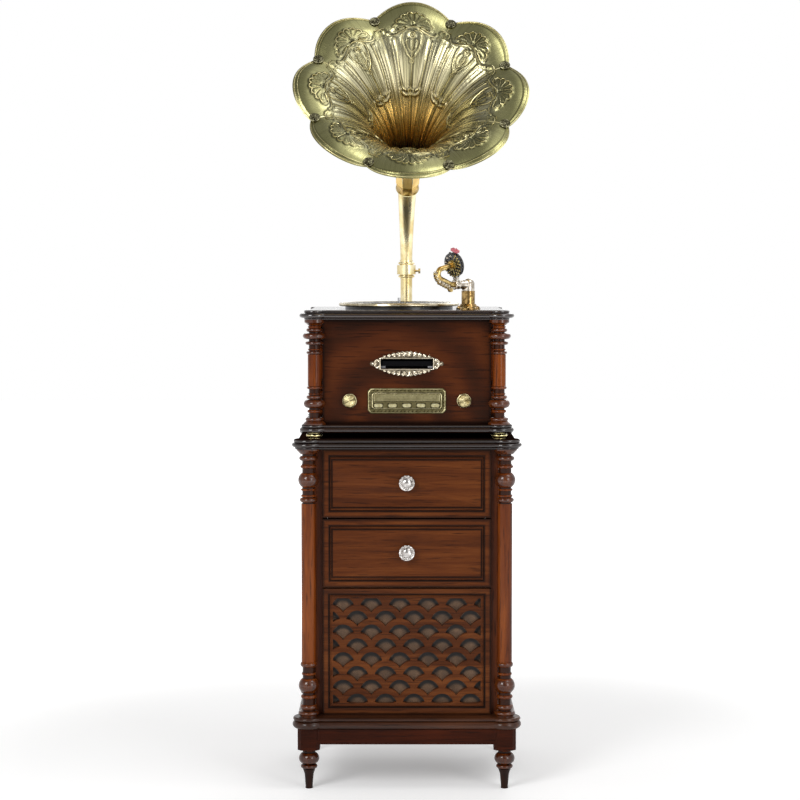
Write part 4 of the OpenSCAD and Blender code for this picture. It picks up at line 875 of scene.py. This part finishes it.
        # the socket's top edge stands in the bell's thickness, so that no light comes through between them
        socket = turned_shape([(24.5, 3.6), (29.6, 3.6), (30.2, 4.4), (30.2, 31), (30.4, 33), (30.4, 36.2),
                               (29.6, 36.2), (29.6, 33.6), (24.5, 33.6), (24.5, 3.6)],
                              want.petals, carry @ turned(SEAM))
        place_piece("horn_socket", socket, "horn", metal(
            "socket_brass", (206, 170, 76), (140, 106, 36), 0.3, 0.6, 1.5))
        lip = turned_shape([(25, 0.6), (28.4, 1.2), (29.4, 2.4), (28.4, 3.5), (25, 3.5), (25, 0.6)], 64,
                           carry)
        place_piece("horn_socket_ring", lip, "horn", raised_brass)

        gold = metal("polished_brass", (248, 236, 194), (214, 192, 132), 0.3, 0.6, 0.5)
        eased("horn_elbow", gold, 0)
        for node in ("horn_tube", "horn_collar"):
            painted(node, gold)
        return {"FINISHED"}

    @staticmethod
    def bell_finish():
        """Brass that turns from a throat painted nearly black as shade over orange gold to an olive lip,
        brushed lengthwise, with painted shade on the middles of the petals and beside the raised lines.

        u counts half petals round the horn, and v is the share of its length."""
        made = Finish("horn_brass")
        u, v = made.axes("xy", made.node("ShaderNodeUVMap", {"uv_map": "petal"}))
        streak = made.noise(made.flat(u * 22.0, v * 0.7), 3.0, 0.6)
        hair = made.noise(made.flat(u * 130.0, v * 3.0), 3.0, 0.6)
        cloud = made.noise(14, 4.0, 0.55, 0.5)
        # the ramp's nearly black start is painted shade deep in the throat
        colour = made.ramp(v + (streak - 0.5) * 0.1, [
            (0.0, (0.02, 0.01, 0.004, 1)), (0.09, (0.26, 0.14, 0.045, 1)), (0.2, (1.0, 0.66, 0.25, 1)),
            (0.36, (0.98, 0.78, 0.42, 1)), (0.5, (0.8, 0.72, 0.46, 1)), (0.72, (0.62, 0.59, 0.38, 1)),
            (0.82, (0.43, 0.41, 0.2, 1)), (1.0, (0.38, 0.37, 0.16, 1))])
        # painted shade on the middle of each petal, between lighter flanks
        side = abs((u + 1.0) % 2.0 - 1.0)
        low, high = made.fade(v, 0.34, 0.5), made.fade(v, 0.66, 0.78, 1.0, 0.0)
        middle = made.fade(side, 0.12, 0.6, 0.55, 0.0)
        colour = made.blend(low * high * middle, colour, (0.2, 0.19, 0.085, 1))
        drawn = made.fade(v, 0.66, 0.8, 0.84, 0.2)
        colour = made.blend(made.fade(streak, 0.44, 0.6) * drawn, colour, (0.1, 0.082, 0.036, 1))
        colour = made.blend(made.fade(cloud, 0.45, 0.75, 0.0, 0.2), colour, (0.24, 0.24, 0.11, 1))
        # painted shade beside the raised lines, carried by the mesh
        worn = made.node("ShaderNodeAttribute", {"attribute_name": "patina"}, output="Fac")
        colour = made.blend(worn * 0.9, colour, (0.03, 0.026, 0.01, 1))
        return made.surface(
            Base_Color=colour, Metallic=1.0, Roughness=made.fade(streak, 0.3, 0.7, 0.2, 0.3),
            Normal=made.bump(hair * 0.6 + streak * 0.4, 0.5 * MM, 0.4))


# ---------------------------------------------------------------- metalwork on the fronts

SLOT_Z, PLATE_Z, DIAL_Z = 1033, 943, 950.5


def at_front(x, y, z):
    """Carries a shape that was turned upright to a place on a front, in millimetres, facing forward."""
    return moved(x, y, z) @ FORWARD


def eight_corners(at_z, half_w, half_h, cut, y):
    """An upright rectangle with its corners cut off, as a line of points in metres from millimetres."""
    near_w, near_h = half_w - cut, half_h - cut
    return [(x * MM, y * MM, (at_z + z) * MM) for x, z in (
        (-half_w, -near_h), (-half_w, near_h), (-near_w, half_h), (near_w, half_h),
        (half_w, near_h), (half_w, -near_h), (near_w, -half_h), (-near_w, -half_h))]


def curl(matrix, outer, turns, hand, start):
    """A flat spiral from radius outer, in millimetres, inwards, as a line of points."""
    line = []
    for k in range(int(16 * turns) + 1):
        share = k / (16 * turns)
        r = outer * (1 - 0.7 * share) * MM
        a = start + hand * 2 * math.pi * turns * share
        line.append(matrix @ Vector((r * math.cos(a), r * math.sin(a), 0)))
    return line


class PLAYER_OT_drawer_knobs(bpy.types.Operator):
    """A silver rosette with a dome on each drawer"""
    bl_idname = "player.drawer_knobs"
    bl_label = "Drawer knobs"

    def execute(self, context):
        silver = metal("bright_silver", (232, 229, 226), (150, 144, 140), 0.2, 0.6, 2.5)
        dark = metal("shadow_silver", (70, 64, 58), (30, 26, 22), 0.5, 0.6, 2.5)
        for node, z in (("upper_drawer_knob", 745.5), ("lower_drawer_knob", 575.5)):
            spot = at_front(0, FRONT_Y, z)
            shape = turned_shape(
                [(0, 0.2), (15, 0.2), (16.4, 1), (15.4, 2.2), (9, 2.8), (7, 4.5), (6.4, 9), (8, 12.5),
                 (14, 14.2), (18.4, 15.6), (19.3, 17.2), (18.6, 18.6), (16.6, 18.8), (15.4, 18), (13.4, 18),
                 (12, 19.4), (10.8, 20.9), (8, 22.6), (4, 23.6), (0, 23.9)], 56, spot)
            petals_round(shape, spot, 14, 17.2, (2.6, 2.9, 1.5), 18.4)
            petals_round(shape, spot, 22, 13.6, (1.3, 1.5, 1.3), 18.6)
            place_piece(node + "_cast", shape, node, silver, True)
            # a dark ring of painted shade between the dome and the rosette
            shade_ring = turned_shape([(11.3, 18.6), (12.1, 18.95), (12.9, 18.3), (12.1, 17.6), (11.3, 18.6)], 48,
                                  spot)
            place_piece(node + "_recess", shade_ring, node, dark)
        return {"FINISHED"}


class PLAYER_OT_disc_slot(bpy.types.Operator):
    """The lacy bezel of the disc slot, and the tray and drive behind it"""
    bl_idname = "player.disc_slot"
    bl_label = "Disc slot"

    def execute(self, context):
        dark = metal("tarnished_silver", (150, 138, 116), (58, 48, 38), 0.36, 0.4, 4.0, grime=0.5)
        silver = metal("cream_silver", (240, 232, 212), (190, 176, 150), 0.24, 0.7, 3.0)
        eased("disc_bezel", dark, 0.4 * MM)
        # the bezel's outline is two arcs of one circle, with scrolls along them that leave the tray its room
        half_w, half_h = 84.0, 24.0
        tray_half_w, tray_half_h = 67, 15.6
        circle = (half_w ** 2 + half_h ** 2) / (2 * half_h)
        sweep = math.asin(half_w / circle)
        y = BOX_FRONT_Y - 2.7
        lines, drops = [], bmesh.new()

        def arc(turn):
            return circle * math.sin(turn), half_h - circle + circle * math.cos(turn)

        for flip in (1, -1):
            for k in range(-7, 8):
                x, up = arc(k * sweep / 8)
                outer = 6.2 - abs(k) * 0.25
                low, top = up - outer, up + outer
                if abs(x) < tray_half_w:
                    low = max(low, tray_half_h)
                if top - low < 3:
                    continue
                z, outer = SLOT_Z + flip * (top + low) / 2, (top - low) / 2
                hand = (1 if k > 0 else -1) * flip
                lines.append(curl(at_front(x, y, z), outer, 1.2, hand, math.pi / 2 * flip))
                ball(drops, at_front(x, y - 0.2, z) @ sized(1.7, 1.7, 1.3))
                if abs(k) < 6:
                    x, up = arc((k + 0.5) * sweep / 8)
                    up = (up + 15.2) / 2
                    if up > 16.4:
                        ball(drops, at_front(x, y, SLOT_Z + flip * up) @ sized(1.1, 2.8, 1.2))
        for side in (-1, 1):
            for turn, long in ((0, 6.2), (0.75, 4.6), (-0.75, 4.6)):
                spot = at_front(side * 73, y, SLOT_Z) @ turned(turn if side > 0 else math.pi - turn)
                ball(drops, spot @ moved(long, 0, 0) @ sized(long, 2.4, 1.3), 10)
            for flip in (1, -1):
                lines.append(curl(at_front(side * 71.6, y, SLOT_Z + flip * 8), 3.9, 1.3, side * flip, 0.0))
        place_piece("bezel_drops", drops, "disc_bezel", silver)
        place_piece("bezel_scrolls", wire_shape(lines, 0.95 * MM), "disc_bezel", silver)
        rim = eight_corners(SLOT_Z, 65.3, 13.8, 1.6, BOX_FRONT_Y - 4.1)
        place_piece("slot_rim", wire_shape([rim], 0.9 * MM, closed=True), "disc_bezel", silver)
        painted("disc_tray", plain("tray_plastic", (0.004, 0.004, 0.005, 1), 0.7, specular=0.05))
        painted("disc_drive", metal("drive_steel", (190, 190, 192), (140, 140, 142), 0.3, 0.8))
        return {"FINISHED"}


class PLAYER_OT_radio(bpy.types.Operator):
    """The radio plate with its rope border, dial, buttons and knobs"""
    bl_idname = "player.radio"
    bl_label = "Radio"

    def execute(self, context):
        plate = metal("plate_brass", (120, 112, 78), (78, 72, 46), 0.34, 0.6, 2.0, brushed="X",
                      frames=[(0, PLATE_Z, 85, 19.5, 1.6), (0, DIAL_Z, 80, 9, 1.4)]
                      + [(34.6 * k, 931.5, 10.5, 4.8, 1.3) for k in range(-2, 3)])
        eased("radio_plate", plate, 0.4 * MM)
        rope = bmesh.new()
        spots = [((i + 0.5) * 9.4, flip * 25.5, 0.0) for flip in (-1, 1) for i in range(-9, 9)]
        spots += [(flip * 90, (i + 0.5) * 8.4, math.pi / 2) for flip in (-1, 1) for i in range(-2, 2)]
        for x, z, turn in spots:
            spot = at_front(x, BOX_FRONT_Y - 3.7, PLATE_Z + z)
            ball(rope, spot @ turned(turn + 0.7) @ sized(3.2, 1.4, 0.8))
        place_piece("plate_rope", rope, "radio_plate", metal(
            "rope_shadow", (58, 50, 30), (26, 22, 12), 0.5, 0.5, 4.0))
        lines = [eight_corners(PLATE_Z, half_w, half_h, cut, BOX_FRONT_Y - 3.6)
                 for half_w, half_h, cut in ((92.5, 28, 6.2), (84, 18.6, 4.2))]
        bright = metal("edge_brass", (222, 212, 170), (160, 148, 104), 0.26, 0.6, 2.0)
        place_piece("plate_lines", wire_shape(lines, 0.7 * MM, closed=True), "radio_plate", bright)
        painted("dial_window", self.dial_finish())
        window = [(x * MM, (BOX_FRONT_Y - 1.9) * MM, (DIAL_Z + z) * MM)
                  for x, z in ((-79.6, -8.6), (-79.6, 8.6), (79.6, 8.6), (79.6, -8.6))]
        place_piece("dial_rim", wire_shape([window], 0.9 * MM, closed=True), "radio_plate", bright)
        pale = metal("button_brass", (206, 200, 160), (160, 150, 108), 0.34, 0.6, 3.0)
        for number in range(1, 6):
            eased(f"button_{number}", pale, 0.7 * MM)
        for node, x in (("volume_knob", -139), ("tuning_knob", 139)):
            spun = spun_metal(node + "_brass", (206, 194, 148), (136, 120, 78),
                              (x * MM, 0, PLATE_Z * MM), "xz", 0.9 * MM, 0.26, painted_wedge=0.42)
            eased(node, spun, 0.5 * MM)
            spot = at_front(x, BOX_FRONT_Y, PLATE_Z)
            shape = turned_shape([(12, 3.6), (15.4, 3.8), (17.3, 5), (17.3, 8), (15.4, 9.4), (12, 9.5),
                                  (12, 3.6)], 48, spot)
            petals_round(shape, spot, 36, 16.3, (1.1, 0.8, 2.6), 6.6)
            place_piece(node + "_milling", shape, node, bright)
        return {"FINISHED"}

    @staticmethod
    def dial_finish():
        """A pale scale plate with fine dark graduations, longer at every fifth."""
        made = Finish("dial_plate")
        x, z = made.axes("xz")
        step, fifth = [abs(((x + 1.0) * 1000.0 / pitch) % 1.0 - 0.5) for pitch in (3.2, 16.0)]
        up = (z - DIAL_Z * MM) * 1000.0
        short = (step > 0.42) * (up > 2.0) * (up < 5.4)
        long = (fifth > 0.482) * (up > -1.5) * (up < 5.4)
        lines = (abs(up + 3.6) < 0.35) * (abs(x) < 0.072)
        mark = made.math("MAXIMUM", made.math("MAXIMUM", short, long) * (abs(x) < 0.0725), lines)
        cloud = made.noise(60, 4.0, 0.6)
        base = made.blend(made.fade(cloud, 0.3, 0.7), srgb(122, 114, 78), srgb(154, 146, 106))
        return made.surface(
            Base_Color=made.blend(mark * 0.85, base, (0.03, 0.024, 0.014, 1)), Metallic=0.7,
            Roughness=made.fade(cloud, 0.3, 0.7, 0.34, 0.26), Normal=made.bump(1.0 - mark, 0.2 * MM, 0.4))


# ---------------------------------------------------------------- turntable and tonearm

PLATTER_AT = (-19, -20)
ARM_AT = (150, -132)
ARM = moved(*ARM_AT, 1225) @ turned(math.radians(220))  # the arm's own frame, with x along its barrel
SOUNDBOX = ARM @ moved(45.86, 0, 48.93) @ turned(math.radians(14), "Y")


class PLAYER_OT_turntable(bpy.types.Operator):
    """The platter with its grooved mat, spindle and base"""
    bl_idname = "player.turntable"
    bl_label = "Turntable"

    def execute(self, context):
        middle = [c * MM for c in (*PLATTER_AT, 1170)]
        painted("platter", spun_metal("platter_metal", (232, 222, 196), (176, 162, 128), middle, "xy",
                                      1.2 * MM, 0.2))
        mat = Finish("ribbed_mat")
        away = mat.length(*mat.axes("xy", mat.place(shift=[-c for c in middle])))
        ribs = mat.math("SINE", away * (2 * math.pi / (1.6 * MM)))
        dust = mat.noise(40, 4.0, 0.6)
        painted("platter_mat", mat.surface(
            Base_Color=mat.blend(mat.fade(dust, 0.4, 0.7), (0.008, 0.008, 0.009, 1), (0.03, 0.029, 0.028, 1)),
            Roughness=mat.fade(dust, 0.3, 0.7, 0.42, 0.6), Normal=mat.bump(ribs, 0.3 * MM, 0.8)))
        rim = turned_shape([(139, 8), (141.2, 9.6), (143.4, 8.2), (146.5, 8.4), (149.2, 6.4), (149.8, 4),
                            (149, 1.8), (146, 0.2), (139, 0.4), (139, 8)], 96, moved(*PLATTER_AT, 1170.5))
        for vert in rim.verts:
            vert.co.z = min(vert.co.z, 1179.9 * MM)  # its highest bead is worn flat
        place_piece("platter_rim", rim, "platter", spun_metal(
            "platter_rim_metal", (220, 214, 194), (158, 148, 122), middle, "xy", 2 * MM, 0.16))
        painted("platter_base", plain("base_paint", (0.012, 0.011, 0.011, 1), 0.35, coat=0.3))
        steel = metal("spindle_steel", (214, 214, 216), (160, 160, 162), 0.2, 0.8)
        brass = metal("bearing_brass", (200, 180, 118), (140, 120, 70), 0.3, 0.7)
        belt = plain("belt_rubber", (0.012, 0.012, 0.012, 1), 0.6)
        for node, finish in (("spindle", steel), ("spindle_bearing", brass), ("motor", steel),
                             ("motor_pulley", brass), ("drive_belt", belt)):
            painted(node, finish)
        return {"FINISHED"}


class PLAYER_OT_tonearm(bpy.types.Operator):
    """The tonearm on its leafy foot, with scrolls, soundbox and stylus holder"""
    bl_idname = "player.tonearm"
    bl_label = "Tonearm"

    def execute(self, context):
        gold = metal("arm_gold", (222, 196, 130), (150, 118, 60), 0.22, 0.5, 3.0)
        silver = metal("arm_silver", (224, 216, 202), (128, 116, 102), 0.2, 0.6, 3.0)
        aged = metal("leaf_bronze", (186, 172, 118), (84, 70, 36), 0.34, 0.4, 5.0, grime=0.35)
        old_silver = metal("leaf_silver", (226, 218, 200), (70, 58, 48), 0.3, 0.4, 5.0, grime=0.5)
        black = plain("soundbox_black", (0.010, 0.009, 0.009, 1), 0.3, coat=0.4)
        eased("tonearm_pillar", metal("amber_gold", (186, 154, 98), (84, 62, 34), 0.2, 0.5, 3.0), 0.5 * MM)
        eased("tonearm", silver, 0.5 * MM)
        eased("gooseneck", gold, 0.4 * MM)
        eased("soundbox", black, 0.5 * MM)
        eased("stylus", plain("rose_plastic", srgb(206, 92, 108), 0.3, coat=0.5), 0.8 * MM)

        foot = moved(*ARM_AT, 1164)
        leaves = bmesh.new()
        petals_round(leaves, foot, 12, 24.5, (4.6, 4.2, 2.4), 4.6)
        petals_round(leaves, foot, 12, 20.5, (2.8, 1.8, 2.6), 7.4, math.pi / 12)
        place_piece("arm_foot_leaves", leaves, "tonearm_pillar", aged)
        screws = bmesh.new()
        for k in range(3):
            turned_shape([(0, 0), (3.4, 0), (3.4, 1.4), (2.6, 2.3), (0, 2.7)], 16,
                         foot @ turned(math.radians(-90 + 120 * k)) @ moved(26.2, 0, 5.2), screws)
        place_piece("arm_foot_screws", screws, "tonearm_pillar", silver)

        def beside(x, y, z):
            return ARM @ moved(x, y, z) @ FORWARD

        lines = [curl(beside(x, side * 3.2, 14.6), 3.6, 1.4, hand, start)
                 for x, hand, start in ((36, 1, 0.0), (43, -1, math.pi)) for side in (-1, 1)]
        place_piece("arm_ring_scroll", wire_shape(lines, 1.0 * MM), "tonearm", old_silver)

        # the gooseneck's leaf: scrolls along its straight part, which rises from x 55, and round its bend
        lines, drops = [], bmesh.new()
        rise = math.radians(22)
        for k in range(6):
            along, down = 3 + 33 * k / 5, -10.0
            x = 55 + along * math.cos(rise) - down * math.sin(rise)
            z = along * math.sin(rise) + down * math.cos(rise)
            for side in (-1, 1):
                spot = beside(x, side * 4.1, z)
                lines.append(curl(spot, 4.4, 1.2, -1, rise + math.pi / 2))
                ball(drops, spot @ moved(1.8, 4.8, 0) @ turned(rise + 0.9) @ sized(4.6, 1.7, 1.2))
        for k in range(4):
            turn = rise - math.pi / 2 + math.radians(12 + 22 * k)
            for side in (-1, 1):
                spot = beside(84.44 + 21 * math.cos(turn), side * 3.6, 25.91 + 21 * math.sin(turn))
                lines.append(curl(spot, 3.6, 1.2, -1, turn))
        place_piece("arm_leaf_scrolls", wire_shape(lines, 0.9 * MM), "gooseneck", old_silver)
        place_piece("arm_leaf_drops", drops, "gooseneck", old_silver)

        face = SOUNDBOX @ turned(math.pi / 2, "Y")
        casting = bmesh.new()
        for away, count, size in (
                (27.5, 13, (3.4, 2.8, 1.9)), (21.5, 10, (4.2, 2.0, 1.7)), (15.5, 7, (3.2, 1.8, 1.5))):
            for k in range(count):
                spot = face @ turned(math.radians(-62 + 205 * k / (count - 1))) @ moved(away, 0, 6.9)
                ball(casting, spot @ turned(0.35 * (-1) ** k) @ sized(*size))
        turned_shape([(5, 6.6), (12.4, 6.6), (13.2, 7.6), (12.4, 8.6), (10, 8.2), (5, 8.2), (5, 6.6)], 40,
                     face, casting)
        place_piece("soundbox_casting", casting, "soundbox", aged)
        heads = bmesh.new()
        for turn in (178, 214, 252):
            turned_shape([(0, 0), (3.2, 0), (3.2, 1.2), (2.4, 2.1), (0, 2.5)], 16,
                         face @ turned(math.radians(turn)) @ moved(21.5, 0, 6.6), heads)
        place_piece("soundbox_screws", heads, "soundbox", silver)
        return {"FINISHED"}


# ---------------------------------------------------------------- feet and inner works

class PLAYER_OT_works(bpy.types.Operator):
    """The box's brass feet, the rear plate and the works inside"""
    bl_idname = "player.works"
    bl_label = "Feet and works"

    def execute(self, context):
        painted("brass_feet", metal("foot_brass", (240, 226, 170), (204, 186, 126), 0.2, 0.7))
        board = plain("circuit_board", (0.03, 0.12, 0.05, 1), 0.4, coat=0.3)
        iron = metal("transformer_iron", (150, 150, 150), (104, 104, 106), 0.4, 0.8, brushed="Z")
        for node, finish in (("rear_plate", plain("rear_plastic", (0.014, 0.014, 0.015, 1), 0.45)),
                             ("radio_chassis", board), ("amplifier_board", board),
                             ("power_transformer", iron)):
            painted(node, finish)
        return {"FINISHED"}


PIECES = [PLAYER_OT_stage, PLAYER_OT_woodwork, PLAYER_OT_speaker, PLAYER_OT_drawer_knobs, PLAYER_OT_disc_slot,
          PLAYER_OT_radio, PLAYER_OT_turntable, PLAYER_OT_tonearm, PLAYER_OT_horn, PLAYER_OT_works]


class PLAYER_PT_panel(bpy.types.Panel):
    """Lists the record player's pieces"""
    bl_idname = "PLAYER_PT_panel"
    bl_label = "Record player"
    bl_space_type = "VIEW_3D"
    bl_region_type = "UI"
    bl_category = "Record player"

    def draw(self, context):
        for kind in PIECES:
            self.layout.operator(kind.bl_idname)


def register():
    for kind in (*SETTINGS.values(), *PIECES, PLAYER_PT_panel):
        bpy.utils.register_class(kind)
    for name, kind in SETTINGS.items():
        setattr(bpy.types.Scene, name, PointerProperty(type=kind))


def unregister():
    for name in SETTINGS:
        delattr(bpy.types.Scene, name)
    for kind in reversed((*SETTINGS.values(), *PIECES, PLAYER_PT_panel)):
        bpy.utils.unregister_class(kind)


def main():
    register()
    for kind in PIECES:
        group, name = kind.bl_idname.split(".")
        getattr(getattr(bpy.ops, group), name)()


if __name__ == "__main__":
    main()
